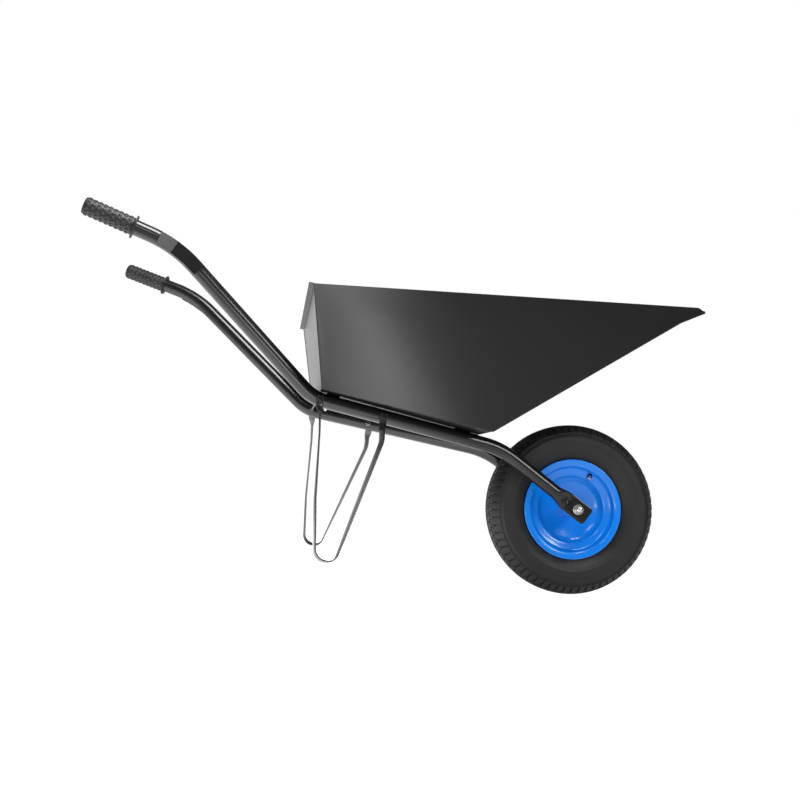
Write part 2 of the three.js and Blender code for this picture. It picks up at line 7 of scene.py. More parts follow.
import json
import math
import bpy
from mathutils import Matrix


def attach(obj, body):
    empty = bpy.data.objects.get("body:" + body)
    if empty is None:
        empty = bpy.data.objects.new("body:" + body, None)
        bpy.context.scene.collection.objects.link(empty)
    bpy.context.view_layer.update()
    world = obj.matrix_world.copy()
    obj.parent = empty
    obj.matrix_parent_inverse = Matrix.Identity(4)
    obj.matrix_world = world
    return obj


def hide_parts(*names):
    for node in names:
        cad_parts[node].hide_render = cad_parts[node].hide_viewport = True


bl_info = {
    "name": "Garden Wheelbarrow",
    "version": (1, 0, 0),
    "blender": (4, 5, 0),
    "location": "3D View > Sidebar > Wheelbarrow",
    "description": "Builds a sheet steel wheelbarrow with a pneumatic wheel and its studio",
    "category": "Object",
}

import bmesh
import bpy
from bpy.props import FloatProperty, FloatVectorProperty, IntProperty, PointerProperty
from mathutils import Matrix, Vector

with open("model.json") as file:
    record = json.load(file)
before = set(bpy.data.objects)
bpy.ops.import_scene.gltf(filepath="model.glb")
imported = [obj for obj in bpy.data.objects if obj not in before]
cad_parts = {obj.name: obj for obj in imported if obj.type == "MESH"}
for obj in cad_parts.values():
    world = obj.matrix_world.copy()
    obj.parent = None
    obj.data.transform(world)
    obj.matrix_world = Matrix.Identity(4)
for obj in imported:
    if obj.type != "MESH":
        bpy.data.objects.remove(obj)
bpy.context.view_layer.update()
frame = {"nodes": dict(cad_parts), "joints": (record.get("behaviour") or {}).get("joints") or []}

MM = 0.001
AXLE = Vector(frame["joints"][0]["pos_m"])
UP = Vector((0, 0, 1))
ACROSS = Vector((0, 1, 0))
FIT = 0.3                       # gap in mm between pieces that touch
POINT = 0.05                    # radius in mm that stands for a point at the end of a rod

# Corners of the right rail's centre line in millimetres: forward of the axle, outward from
# the middle plane, above the floor.
RAIL_CORNERS = ((-1167, 309.1, 623.4), (-983, 284, 584.5), (-652, 171, 337.3),
                (-205, 80, 308.1), (0, 70, 200))
RAIL_BENDS = (250, 105, 185)    # radii of the bends at its three inner corners
TUBE_RADIUS = 16
RAIL_SIDES = 56
LUG = {"thickness": 4, "width": 44, "tip": 30, "length": 28, "taper": 38, "corner": 7,
       "hole": 6.35}
# Stops of the lug's rings along the nose, from the axle: even ones, then the rounded end.
LUG_STOPS = [-70 + 2.5 * k for k in range(37)] + [23, 24.5, 26, 27.3, 28.4, 29.2, 29.8, 30]
# The press mark behind the axle: its place, half lengths, along and up, and its depth.
DENT = {"along": -33, "up": 3, "length": 5.5, "height": 5, "depth": 2.2}
# Bend plate: how far it sits below and off the rail's centre, and where its flats run.
PLATE = {"thickness": 2.5, "width": 29, "drop": 2.5, "off": 16.3,
         "rear": (-1018, -1000), "crease": -984, "front": (-958, -931)}

# Grip: lengths along the handle from its end, and radii.
GRIP = {"length": 107, "end": 4, "flange": 3, "radius": 17.6, "flange_radius": 24.5,
        "nubs_from": 5}

# Side outline of the tray in millimetres: forward of the axle, above the floor.
TRAY = {"rear_top": (-694, 557), "rear_bottom": (-638, 354.2), "front_bottom": (-262, 329.2),
        "lip_start": (92.6, 626.2), "lip_end": (141.4, 656.4), "rim_kink": (124, 663.9)}
TRAY_LOWER = ("rear_top", "rear_bottom", "front_bottom", "lip_start", "lip_end")
TRAY_HALF_BOTTOM = 236
TRAY_HALF_TOP = 307
SHEET = 1.5
SEAM_GAP = 0.15                 # from the middle of a corner seam to each of its two sheets
SHEET_EDGE = 0.5                # rounding of the sheets' edges
SHEET_BENDS = (2.2, 4, 4, 10)   # radii of the folds, from the rear lip to the pouring lip
SHEET_COLUMNS = 40              # strips across the folded sheet
PANEL_ROWS = 28                 # strips up a side panel
REAR_LIP = {"length": 11, "droop": 0.2}
HEM = 3.4                       # radius of the rolled front edge
TRAY_BEAD = {"radius": 1.1, "spacing": 2.4, "off": 0.4}

# Legs: the flat bar, its bolts and its loop in side view, with the radii of the loop's bends.
STRAP = {"width": 16, "thickness": 4, "edge": 1.1}
LEG_BOLTS = {"rear": -640, "front": -495}
LEG_LOOP = ((-631, 300), (-626, 266), (-613, 125), (-595.4, 4.55), (-554, 4.55),
            (-488.5, 270), (-490.5, 291))
LEG_RADII = (60, 120, 24, 24, 60)
FOOT = (-574, 293)              # middle of the foot: forward of the axle, outward
TAB = {"above": 6.5, "below": 12}        # how far a leg's flat end reaches past its bolt
LEG_TWIST_LEFT = 0.3            # share of a leg's twist that it makes on its way down
LEG_HEAD = 3                    # height of a leg bolt's head
# Tie: its radius, its bosses' radius, and how far it stops short of a rail's centre line.
TIE = {"radius": 2.5, "boss": 6.5, "inset": 18.2}
# How far inside the rail's centre line a cross member and its weld end.
MEMBER_INSET = 11.6
MEMBER_BEAD = {"radius": 1.3, "spacing": 1.6, "inset": 12.3, "below": 0.1}
MEMBERS = {"rear": {"x": -608, "width": 30, "thickness": 5, "bolt": 118},
           "front": {"x": -300, "width": 40, "thickness": 5, "bolt": 62}}

# Bolts in millimetres: radius, hole of the nut, hexagon across its flats, height of the nut.
M6 = {"radius": 3, "hole": 3.35, "flats": 10, "nut": 5}
M12 = {"radius": 6, "hole": 6.35, "flats": 19, "nut": 10, "face": 74.6, "end": 88}

# Wheel outlines in millimetres: distance from the axle line, distance from the middle plane.
RIM_OUTLINE = (
    (98, 0.15), (98, 10), (98.8, 13.5), (101, 16.8), (101.6, 19), (102, 26), (103.1, 28.6),
    (105.6, 30.3), (111, 31), (114.6, 31.5), (116.4, 32.2), (117.4, 33.3), (117.3, 34.1),
    (116.4, 34.5), (115, 34.3), (110, 33.7), (105.4, 33.2), (102.2, 32), (100.2, 29.6),
    (99.2, 26.6), (98, 24.2), (95.6, 22), (92, 20.8), (84, 19.6), (80.4, 18.8), (78.2, 17.2),
    (76.6, 14.6), (74, 12), (66, 8.2), (56, 5.4), (45, 3.6), (32, 2.8), (19.3, 2.7),
    (19.3, 0.15), (45, 0.4), (67, 4.8), (78, 11), (83, 16.2), (93, 18), (96, 12.5), (96, 0.15))
TYRE_SIDEWALL = (
    (102.6, 19.5), (102.6, 26), (104.6, 28), (108, 28.9), (112, 29.6), (116, 30.4),
    (118.3, 31.2), (119.3, 32.6), (120.2, 34.3), (121.8, 35.6), (123.4, 37.4), (126, 39.6),
    (130, 42.4), (135, 45.2), (140, 47.4), (143, 48.3), (144.2, 49.1), (145.6, 49.2),
    (146.8, 48.9), (152, 49.7), (158, 50), (164, 49.8), (168.6, 49.2), (169.6, 49.5),
    (171, 49.4), (172, 48.6), (176, 47.2), (180.5, 44.4))
TYRE_INSIDE = ((190, 12), (184, 30), (172, 38.5), (158, 42), (138, 39.6), (124, 34), (106, 23))
WHEEL_SEGMENTS = 192
TREAD = {"crown": 200, "fall": 13, "edge": 43, "power": 3.2, "depth": 3.4, "middle": 195}
TREAD_GAP = 0.55                # degrees between one block and the next
# Valve: its turn round the axle in radians, its two ends as above, and two radii.
VALVE = {"turn": 1.203, "base": (112, -1.4), "tip": (82.5, -28.4), "hole": 6, "stem": 3.2}

# The legs' black paint with its base colour about three times the frame paint's: the extra
# lightness is painted sheen for the legs' glossy faces.
LEG_PAINT_WITH_SHEEN = (0.02, 0.0195, 0.02, 1)
PAINT_DUST = (0.36, 0.35, 0.33, 1)
RUBBER_DUST = (0.3, 0.29, 0.27, 1)

# Camera: place in metres and the turns, in degrees, of a level camera that looks along +Y.
CAMERA = {"place": (AXLE.x - 0.7096, -2.3079, 0.141), "lens": 44.52, "sensor": 36,
          "yaw": 6.56, "pitch": 6.0, "roll": -9.62}

# Brightness of the room by direction: (from, to, brightness at from, brightness at to).
ROOM = {"ceiling": (0.15, 0.6, 1, 0.2), "wall": (-0.5, 0.6, 0.12, 1), "side": (-0.6, 0.6, 1, 0.5)}
# Pools of light on the floor in metres: along each axis, where it rises and where it falls,
# then the share of the light in the one under the barrow, and the glow of the whole floor.
POOLS = {"under_y": ((-0.8, -0.5), (0.5, 0.9)), "under_x": ((-1.6, -1.2), (0.05, 0.42)),
         "right_x": ((-0.25, 0.02), (0.05, 0.29)), "right_y": ((-2.4, -1.9), (-0.9, -0.6)),
         "under_share": 0.3, "least": 0.5}
# Soft boxes: whose power setting, place, aim and size in metres, share of that power.
SOFT_BOXES = (("key", (-0.35, -2.7, 1.4), (-0.1, 0, 0.4), (0.7, 0.5), 1),
              ("fill", (0.1, -1.0, 2.4), (0.3, 0, 0.25), (1.6, 1.0), 1),
              ("fill", (1.9, -2.2, 1.5), (0.49, 0, 0.2), (0.8, 0.8), 0.25))


# ------------------------------------------------------------------ user settings


class WheelbarrowLooks(bpy.types.PropertyGroup):
    """Sizes and colours of the barrow's finish"""

    frame_colour: FloatVectorProperty(
        name="Frame Paint", description="Colour of the rails and the parts on them",
        subtype="COLOR", size=4, min=0, max=1, default=(0.0065, 0.0062, 0.0068, 1))
    tray_colour: FloatVectorProperty(
        name="Tray Paint", description="Colour of the tray", subtype="COLOR",
        size=4, min=0, max=1, default=(0.0042, 0.0036, 0.0036, 1))
    rim_colour: FloatVectorProperty(
        name="Rim Paint", description="Colour of the wheel rim", subtype="COLOR",
        size=4, min=0, max=1, default=(0.003, 0.23, 0.88, 1))
    tread_pitches: IntProperty(
        name="Tread Pitches", description="Repeats of the tread pattern round the tyre",
        default=66, min=24, max=120)
    grip_rows: IntProperty(
        name="Grip Rows", description="Rings of nubs along each grip",
        default=9, min=3, max=16)
    nubs_per_row: IntProperty(
        name="Nubs per Row", description="Nubs round a grip in one ring",
        default=14, min=6, max=24)


class WheelbarrowStudio(bpy.types.PropertyGroup):
    """Lights and backdrop of the studio"""

    key_power: FloatProperty(
        name="Key Power", description="Power of the soft light in front of the barrow",
        subtype="POWER", default=7, min=0)
    fill_power: FloatProperty(
        name="Fill Power",
        description="Power of the soft lights above the barrow and by the wheel",
        subtype="POWER", default=100, min=0)
    floor_light: FloatProperty(
        name="Floor Light", description="Glow of the floor beside the barrow",
        default=6.0, min=0)
    world_strength: FloatProperty(
        name="Room Brightness", description="Brightness of the white room",
        default=1.0, min=0)


# ------------------------------------------------------------------ small mesh tools


def placed(name, data):
    """A new object in the scene."""
    thing = bpy.data.objects.new(name, data)
    bpy.context.scene.collection.objects.link(thing)
    return thing


def painted(mesh, material):
    """A mesh with one material, by its name."""
    mesh.materials.clear()
    mesh.materials.append(bpy.data.materials[material])
    return mesh


def new_piece(name, mesh, body, replaced=()):
    """A finished mesh as an object that rides on a body and stands for CAD nodes."""
    piece = placed(name, mesh)
    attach(piece, body)
    if replaced:
        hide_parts(*replaced)
    return piece


def mesh_from(rings, name, cyclic=False, smooth_angle=32):
    """A closed skin over rings of equally many points; its ends are capped or joined up."""
    work = bmesh.new()
    rows = [[work.verts.new(point) for point in ring] for ring in rings]
    count = len(rows[0])
    pairs = list(zip(rows, rows[1:]))
    if cyclic:
        pairs.append((rows[-1], rows[0]))
    for low, high in pairs:
        for i in range(count):
            j = (i + 1) % count
            work.faces.new((low[i], low[j], high[j], high[i]))
    if not cyclic:
        work.faces.new(rows[0])
        work.faces.new(rows[-1])
    return finished(work, name, smooth_angle)


def finished(work, name, smooth_angle=32):
    """Turns a bmesh into a clean mesh: merged, facing outwards, smooth but for its edges."""
    bmesh.ops.remove_doubles(work, verts=work.verts, dist=1e-6)
    bmesh.ops.dissolve_degenerate(work, edges=work.edges, dist=1e-7)
    bmesh.ops.recalc_face_normals(work, faces=work.faces)
    limit = math.radians(smooth_angle)
    for face in work.faces:
        face.smooth = True
    for edge in work.edges:
        edge.smooth = len(edge.link_faces) == 2 and edge.calc_face_angle(0) < limit
    mesh = bpy.data.meshes.new(name)
    work.to_mesh(mesh)
    work.free()
    return mesh


def mirrored(mesh, name):
    """A copy of a mesh on the other side of the middle plane."""
    copy = mesh.copy()
    copy.name = name
    copy.transform(Matrix.Scale(-1, 4, (0, 1, 0)))
    copy.flip_normals()
    return copy


def joined(meshes, name):
    """One mesh made of several."""
    work = bmesh.new()
    for mesh in meshes:
        work.from_mesh(mesh)
    result = bpy.data.meshes.new(name)
    work.to_mesh(result)
    work.free()
    return result


def turned(outline, segments, name, smooth_angle=32):
    """A mesh turned about the axle from a closed outline of (radius, y) in mm."""
    rings = []
    for k in range(segments):
        angle = 2 * math.pi * k / segments
        rings.append([AXLE + MM * Vector((r * math.sin(angle), y, r * math.cos(angle)))
                      for r, y in outline])
    return mesh_from(rings, name, cyclic=True, smooth_angle=smooth_angle)


def bevelled(piece, width, angle=35):
    """Rounds a piece's edges that are sharper than an angle."""
    modifier = piece.modifiers.new("Rounded edges", "BEVEL")
    modifier.width = width * MM
    modifier.segments = 2
    modifier.limit_method = "ANGLE"
    modifier.angle_limit = math.radians(angle)


def new_pair(mesh, name, node=None, edge=0, angle=35):
    """A still piece of the right side and its mirror image, with rounded edges if asked."""
    for part, side in ((mesh, "right"), (mirrored(mesh, f"left_{name}"), "left")):
        piece = new_piece(f"{side}_{name}", part, "barrow",
                          [f"{side}_{node}"] if node else ())
        if edge:
            bevelled(piece, edge, angle)


def flip_side(outline):
    """The same outline on the other side of the wheel's middle plane."""
    return [(r, -y) for r, y in reversed(outline)]


# ------------------------------------------------------------------ routes


def right_side(forward, outward, height):
    """A point of the right side, given as in the tables above."""
    return Vector((AXLE.x + forward * MM, -outward * MM, height * MM))


def rounded(corners, radii, steps):
    """Straight runs between corners, each inner corner rounded by its own radius."""
    points = [corners[0]]
    for before, corner, after, radius in zip(corners, corners[1:], corners[2:], radii):
        arriving = (corner - before).normalized()
        leaving = (after - corner).normalized()
        turn = arriving.angle(leaving)
        start = corner - arriving * radius * MM * math.tan(turn / 2)
        inward = (leaving - arriving * math.cos(turn)).normalized()
        for k in range(steps + 1):
            angle = turn * k / steps
            points.append(start + arriving * radius * MM * math.sin(angle)
                          + inward * radius * MM * (1 - math.cos(angle)))
    return points + [corners[-1]]


def way_at(points, i):
    """The direction in which a route runs at one of its points."""
    before = points[max(i - 1, 0)]
    after = points[min(i + 1, len(points) - 1)]
    here = points[i]
    arriving = (here - before).normalized() if i else Vector()
    leaving = (after - here).normalized() if i < len(points) - 1 else Vector()
    return (arriving + leaving).normalized()


def outside(way):
    """The level direction square to the right rail that points away from the barrow."""
    return Vector((way.y, -way.x, 0)).normalized()


def smoothstep(t):
    """Eases from 0 to 1 while t runs from 0 to 1."""
    t = min(max(t, 0), 1)
    return t * t * (3 - 2 * t)


rail_corners = [right_side(*corner) for corner in RAIL_CORNERS]
handle_way = (rail_corners[1] - rail_corners[0]).normalized()
drop_way = (rail_corners[2] - rail_corners[1]).normalized()
nose_way = (rail_corners[4] - rail_corners[3]).normalized()
rail_tip = rail_corners[4] + nose_way * LUG["tip"] * MM
rail_line = rounded(rail_corners[:4] + [rail_tip], RAIL_BENDS, 5)


def rail_at(forward):
    """The rail's centre and way at a distance forward of the axle."""
    x = AXLE.x + forward * MM
    i = next(k for k, point in enumerate(rail_line) if point.x > x)
    low, high = rail_line[i - 1], rail_line[i]
    return low.lerp(high, (x - low.x) / (high.x - low.x)), (high - low).normalized()


# ------------------------------------------------------------------ rails and bend plates


def rail_ring(centre, way, radius, sides):
    """A circle round the rail, started at its outer side."""
    out = outside(way)
    down = way.cross(out)
    return [centre + (out * math.cos(a) + down * math.sin(a)) * radius * MM
            for a in (2 * math.pi * k / sides for k in range(sides))]


def flattened(point):
    """Moves a point of the round rail to where the press leaves it near the axle lug."""
    axle = rail_corners[4]
    across = (ACROSS - nose_way * nose_way.y).normalized()
    upward = nose_way.cross(across)
    offset = point - axle
    along = offset.dot(nose_way) / MM
    ease = smoothstep((along + LUG["length"] + LUG["taper"]) / LUG["taper"])
    if ease == 0:
        return point
    a = offset.dot(across) / MM / TUBE_RADIUS
    b = offset.dot(upward) / MM / TUBE_RADIUS
    # The round section turns to a flat bar with straight faces and tight edges.
    power = 1 + 5 * ease
    reach = max((abs(a) ** (2 * power) + abs(b) ** (2 * power)) ** (1 / (2 * power)), 1e-6)
    square = max(math.hypot(a, b) / reach, 1)
    a, b = a * square, b * square
    rounding = max(0, along - LUG["tip"] + LUG["corner"])
    curve = LUG["corner"] - math.sqrt(max(LUG["corner"] ** 2 - rounding ** 2, 0))
    half = LUG["width"] / 2 - curve
    wide = TUBE_RADIUS + (half - TUBE_RADIUS) * ease
    thin = TUBE_RADIUS + (LUG["thickness"] / 2 - TUBE_RADIUS) * ease
    dent_along = (along - DENT["along"]) / DENT["length"]
    dent_up = (b * wide - DENT["up"]) / DENT["height"]
    dent = DENT["depth"] * math.exp(-dent_along ** 2 - dent_up ** 2) * ease if a < 0 else 0
    a_mm = a * thin + dent
    moved = axle + nose_way * along * MM + across * a_mm * MM + upward * b * wide * MM
    moved.y = moved.y + (axle.y + a_mm * MM - moved.y) * ease
    return moved


def rail_mesh():
    """The right rail: one bent tube with its front end pressed flat round the axle hole."""
    line = rounded(rail_corners[:4] + [rail_tip], RAIL_BENDS, 22)[:-1]
    axle = rail_corners[4]
    flat = [axle + nose_way * MM * d for d in LUG_STOPS]
    stops = [(centre, way_at(line + flat[:1], i)) for i, centre in enumerate(line)]
    stops += [(centre, nose_way) for centre in flat[1:]]
    rings = [[flattened(p) for p in rail_ring(*stop, TUBE_RADIUS, RAIL_SIDES)] for stop in stops]
    mesh = mesh_from(rings, "rail", smooth_angle=40)
    return drilled(mesh, [(axle, ACROSS, LUG["hole"], 30)])


def drilled(mesh, holes):
    """Cuts round holes, given as (centre, way, radius in mm, depth in mm), through a mesh."""
    body = placed("drilled", mesh)
    cutters = []
    for centre, way, radius, depth in holes:
        work = bmesh.new()
        bmesh.ops.create_cone(work, cap_ends=True, segments=40, radius1=radius * MM,
                              radius2=radius * MM, depth=depth * MM)
        turn = way.to_track_quat("Z", "Y").to_matrix().to_4x4()
        bmesh.ops.transform(work, matrix=Matrix.Translation(centre) @ turn, verts=work.verts)
        cutter = placed("drill", finished(work, "drill"))
        cutters.append(cutter)
        hole = body.modifiers.new("Hole", "BOOLEAN")
        hole.operation = "DIFFERENCE"
        hole.solver = "EXACT"
        hole.object = cutter
    result = baked(body)
    for spare in cutters + [body]:
        bpy.data.objects.remove(spare)
    return result


def baked(piece):
    """The mesh of an object with its modifiers applied."""
    graph = bpy.context.evaluated_depsgraph_get()
    return bpy.data.meshes.new_from_object(piece.evaluated_get(graph))


def bend_plate_mesh():
    """The right bend plate: two flats that meet at a crease square to the bend."""
    corner = rail_corners[1]
    reach = PLATE["off"] + PLATE["thickness"] / 2
    middle_way = (handle_way + drop_way).normalized()
    crease = middle_way.cross(outside(middle_way))
    faces = [crease.cross(way).normalized() for way in (handle_way, drop_way)]
    stops = []
    for xs, face in ((PLATE["rear"], faces[0]), (None, None), (PLATE["front"], faces[1])):
        if xs is None:
            slide = (rail_at(PLATE["crease"])[0] - corner).dot(crease) + PLATE["drop"] * MM
            normal = (faces[0] + faces[1]) * (1 / (1 + faces[0].dot(faces[1])))
            stops.append((corner + crease * slide + normal * reach * MM, crease, normal))
            continue
        for x in xs:
            centre, way = rail_at(x)
            width = way.cross(face)
            lift = reach * MM + (corner - centre).dot(face)
            stops.append((centre + face * lift + width * PLATE["drop"] * MM, width, face))
    half_w, half_t = PLATE["width"] / 2 * MM, PLATE["thickness"] / 2 * MM
    rings = [[at + width * w * half_w + normal * t * half_t
              for w, t in ((-1, -1), (1, -1), (1, 1), (-1, 1))] for at, width, normal in stops]
    return mesh_from(rings, "bend_plate", smooth_angle=4)


# ------------------------------------------------------------------ grips


def rod(outline, start, way, segments, name, smooth_angle=32):
    """A solid turned about a line from a list of (distance along, radius) in mm."""
    side = way.orthogonal().normalized()
    up = way.cross(side)
    rings = [[start + way * d * MM + (side * math.cos(a) + up * math.sin(a)) * max(r, 1e-4) * MM
              for a in (2 * math.pi * k / segments for k in range(segments))]
             for d, r in outline]
    return mesh_from(rings, name, smooth_angle=smooth_angle)


def grip_mesh():
    """The right grip without its nubs: closed end, sleeve and hand stop."""
    base, flange, end = GRIP["radius"], GRIP["flange_radius"], GRIP["end"]
    stop = GRIP["length"] - end
    outline = [(-end, POINT), (-end, 10), (-end + 0.1, 13), (-end + 0.7, 15.4), (-end + 1.9, 16.9),
               (-end + 3.4, base)]
    outline += [(d, base) for d in range(4, 96, 6)]
    outline += [(96, base), (98, base + 0.3), (99, base + 1.1), (99.7, base + 2.6),
                (stop - GRIP["flange"], flange - 0.9), (stop - 2.5, flange - 0.2),
                (stop - 1.9, flange), (stop - 1.1, flange), (stop - 0.4, flange - 0.3),
                (stop, flange - 1), (stop, TUBE_RADIUS + FIT)]
    return rod(outline, rail_corners[0], handle_way, 72, "grip")


def geometry_tree(name, sizes):
    """An empty geometry node tree with named number inputs."""
    tree = bpy.data.node_groups.new(name, "GeometryNodeTree")
    tree.interface.new_socket("Geometry", in_out="INPUT", socket_type="NodeSocketGeometry")
    tree.interface.new_socket("Geometry", in_out="OUTPUT", socket_type="NodeSocketGeometry")
    for label, kind, default in sizes:
        socket = tree.interface.new_socket(label, in_out="INPUT", socket_type=kind)
        if default is not None:
            socket.default_value = default
    return tree, tree.nodes.new("NodeGroupInput"), tree.nodes.new("NodeGroupOutput")


def set_input(modifier, label, value):
    """Sets a geometry node input by its socket's identifier."""
    for item in modifier.node_group.interface.items_tree:
        if item.item_type == "SOCKET" and item.in_out == "INPUT" and item.name == label:
            modifier[item.identifier] = value
            return
    raise KeyError(label)


def math_node(tree, operation, first, second=None):
    """A Math node whose inputs are links or numbers; returns its output."""
    node = tree.nodes.new("ShaderNodeMath")
    node.operation = operation
    for socket, value in zip(node.inputs, (first, second)):
        if isinstance(value, bpy.types.NodeSocket):
            tree.links.new(value, socket)
        elif value is not None:
            socket.default_value = value
    return node.outputs[0]


def run_tree(tree, name, values):
    """Runs a tree on an empty mesh and returns what it makes as a plain mesh."""
    carrier = placed(name, bpy.data.meshes.new(name))
    modifier = carrier.modifiers.new(name, "NODES")
    modifier.node_group = tree
    for label, value in values.items():
        set_input(modifier, label, value)
    mesh = baked(carrier)
    bpy.data.objects.remove(carrier)
    return mesh


def nub_tree():
    """Staggered rings of oval nubs on a cylinder about Z."""
    sizes = [("Rows", "NodeSocketInt", 9), ("Nubs per Row", "NodeSocketInt", 14),
             ("Row Pitch", "NodeSocketFloat", 0.0106), ("Radius", "NodeSocketFloat", 0.0176),
             ("Nub Size", "NodeSocketVector", (0.0016, 0.0026, 0.0037)),
             ("Material", "NodeSocketMaterial", None)]
    tree, source, sink = geometry_tree("Grip nubs", sizes)
    new, link, given = tree.nodes.new, tree.links.new, source.outputs
    count = math_node(tree, "MULTIPLY", given["Rows"], given["Nubs per Row"])
    points = new("GeometryNodePoints")
    link(count, points.inputs["Count"])
    index = new("GeometryNodeInputIndex").outputs[0]
    row = math_node(tree, "FLOOR", math_node(tree, "DIVIDE", index, given["Nubs per Row"]))
    stagger = math_node(tree, "MULTIPLY", math_node(tree, "MODULO", row, 2), 0.5)
    place = math_node(tree, "ADD", stagger,
                      math_node(tree, "MODULO", index, given["Nubs per Row"]))
    angle = math_node(tree, "DIVIDE", math_node(tree, "MULTIPLY", place, 2 * math.pi),
                      given["Nubs per Row"])
    flat = [math_node(tree, "MULTIPLY", math_node(tree, turn, angle), given["Radius"])
            for turn in ("COSINE", "SINE")]
    spot = new("ShaderNodeCombineXYZ")
    link(flat[0], spot.inputs["X"])
    link(flat[1], spot.inputs["Y"])
    link(math_node(tree, "MULTIPLY", row, given["Row Pitch"]), spot.inputs["Z"])
    link(spot.outputs[0], points.inputs["Position"])
    nub = new("GeometryNodeMeshUVSphere")
    nub.inputs["Segments"].default_value = 12
    nub.inputs["Rings"].default_value = 7
    nub.inputs["Radius"].default_value = 1
    turn = new("ShaderNodeCombineXYZ")
    link(angle, turn.inputs["Z"])
    scatter = new("GeometryNodeInstanceOnPoints")
    link(points.outputs[0], scatter.inputs["Points"])
    link(nub.outputs["Mesh"], scatter.inputs["Instance"])
    link(turn.outputs[0], scatter.inputs["Rotation"])
    link(given["Nub Size"], scatter.inputs["Scale"])
    finish_tree(tree, scatter.outputs[0], given["Material"], sink)
    return tree


def finish_tree(tree, geometry, material, sink):
    """Ends a tree with smooth shading, Realize Instances and Set Material."""
    real = tree.nodes.new("GeometryNodeRealizeInstances")
    smooth = tree.nodes.new("GeometryNodeSetShadeSmooth")
    paint = tree.nodes.new("GeometryNodeSetMaterial")
    tree.links.new(geometry, real.inputs[0])
    tree.links.new(real.outputs[0], smooth.inputs[0])
    tree.links.new(smooth.outputs[0], paint.inputs[0])
    tree.links.new(material, paint.inputs["Material"])
    tree.links.new(paint.outputs[0], sink.inputs[0])


class WHEELBARROW_OT_grips(bpy.types.Operator):
    """Makes the two rubber grips with their nubs and hand stops"""

    bl_idname = "wheelbarrow.grips"
    bl_label = "Grips"

    def execute(self, context):
        looks = context.scene.wheelbarrow_looks
        nubs = run_tree(nub_tree(), "nubs", {
            "Rows": looks.grip_rows, "Nubs per Row": looks.nubs_per_row,
            "Material": bpy.data.materials["Grip rubber"]})
        start = rail_corners[0] + handle_way * GRIP["nubs_from"] * MM
        nubs.transform(Matrix.Translation(start)
                       @ handle_way.to_track_quat("Z", "Y").to_matrix().to_4x4())
        grip = painted(joined([grip_mesh(), nubs], "right_grip_rubber"), "Grip rubber")
        new_pair(grip, "grip_rubber", "grip")
        return {"FINISHED"}


# ------------------------------------------------------------------ tray


def height_on(first, last, x):
    """Height at x of the straight line through two points."""
    return first[1] + (x - first[0]) * (last[1] - first[1]) / (last[0] - first[0])


def tray_half_width(x, z):
    """Half width of the tray at a point of its side view, in mm."""
    low = height_on(TRAY["rear_bottom"], TRAY["front_bottom"], x)
    high = height_on(TRAY["rear_top"], TRAY["rim_kink"], x)
    return TRAY_HALF_BOTTOM + (TRAY_HALF_TOP - TRAY_HALF_BOTTOM) * (z - low) / (high - low)


def line_height(points, x):
    """Height of a polyline at x; its points run forward."""
    for low, high in zip(points, points[1:]):
        if x <= high[0] + 1e-9:
            return height_on(low, high, x)
    return points[-1][1]


def panel_swell(x, z, top, bottom):
    """Slight hand-made unevenness of a large flat sheet, in mm, none at its edges."""
    depth = min(x - TRAY["rear_top"][0], top - z, z - bottom) / 60
    edge = smoothstep(max(depth, 0))
    return edge * (0.7 * math.sin(x / 97 + 0.6) * math.sin(z / 71 + 1.1)
                   + 0.35 * math.sin(x / 43 + z / 61))


def tray_side_mesh():
    """The right side panel: a flared sheet with a faint swell, rounded at its edges."""
    upper = [TRAY["rear_top"], TRAY["rim_kink"], TRAY["lip_end"]]
    lower = [TRAY[name] for name in TRAY_LOWER]
    corners = sorted({p[0] for p in upper + lower})
    xs = []
    for low, high in zip(corners, corners[1:]):
        count = max(2, round((high - low) / 9))
        xs += [low + (high - low) * k / count for k in range(count)]
    xs = [xs[0] + 0.01] + xs[1:] + [corners[-1] - 0.01]
    rings = []
    for x in xs:
        top, bottom = line_height(upper, x), line_height(lower, x)
        outer, inner = [], []
        for k in range(PANEL_ROWS + 1):
            z = bottom + (top - bottom) * k / PANEL_ROWS
            y = -tray_half_width(x, z) - SEAM_GAP - panel_swell(x, z, top, bottom)
            outer.append(Vector((AXLE.x + x * MM, (y - SHEET) * MM, z * MM)))
            inner.append(Vector((AXLE.x + x * MM, y * MM, z * MM)))
        rings.append(outer + inner[::-1])
    return mesh_from(rings, "tray_side", smooth_angle=40)


def bent_line(points, radii):
    """A 2D polyline with each inner corner rounded by its own radius."""
    corners = [Vector((x, 0, z)) * MM for x, z in points]
    return [(p.x / MM, p.z / MM) for p in rounded(corners, radii, 5)]


def thickened(line, thickness):
    """The two faces of a bent sheet from its outer line."""
    inner = []
    for i, point in enumerate(line):
        way = way_at([Vector((x, 0, z)) for x, z in line], i)
        inner.append((point[0] - way.z * thickness, point[1] + way.x * thickness))
    return line, inner


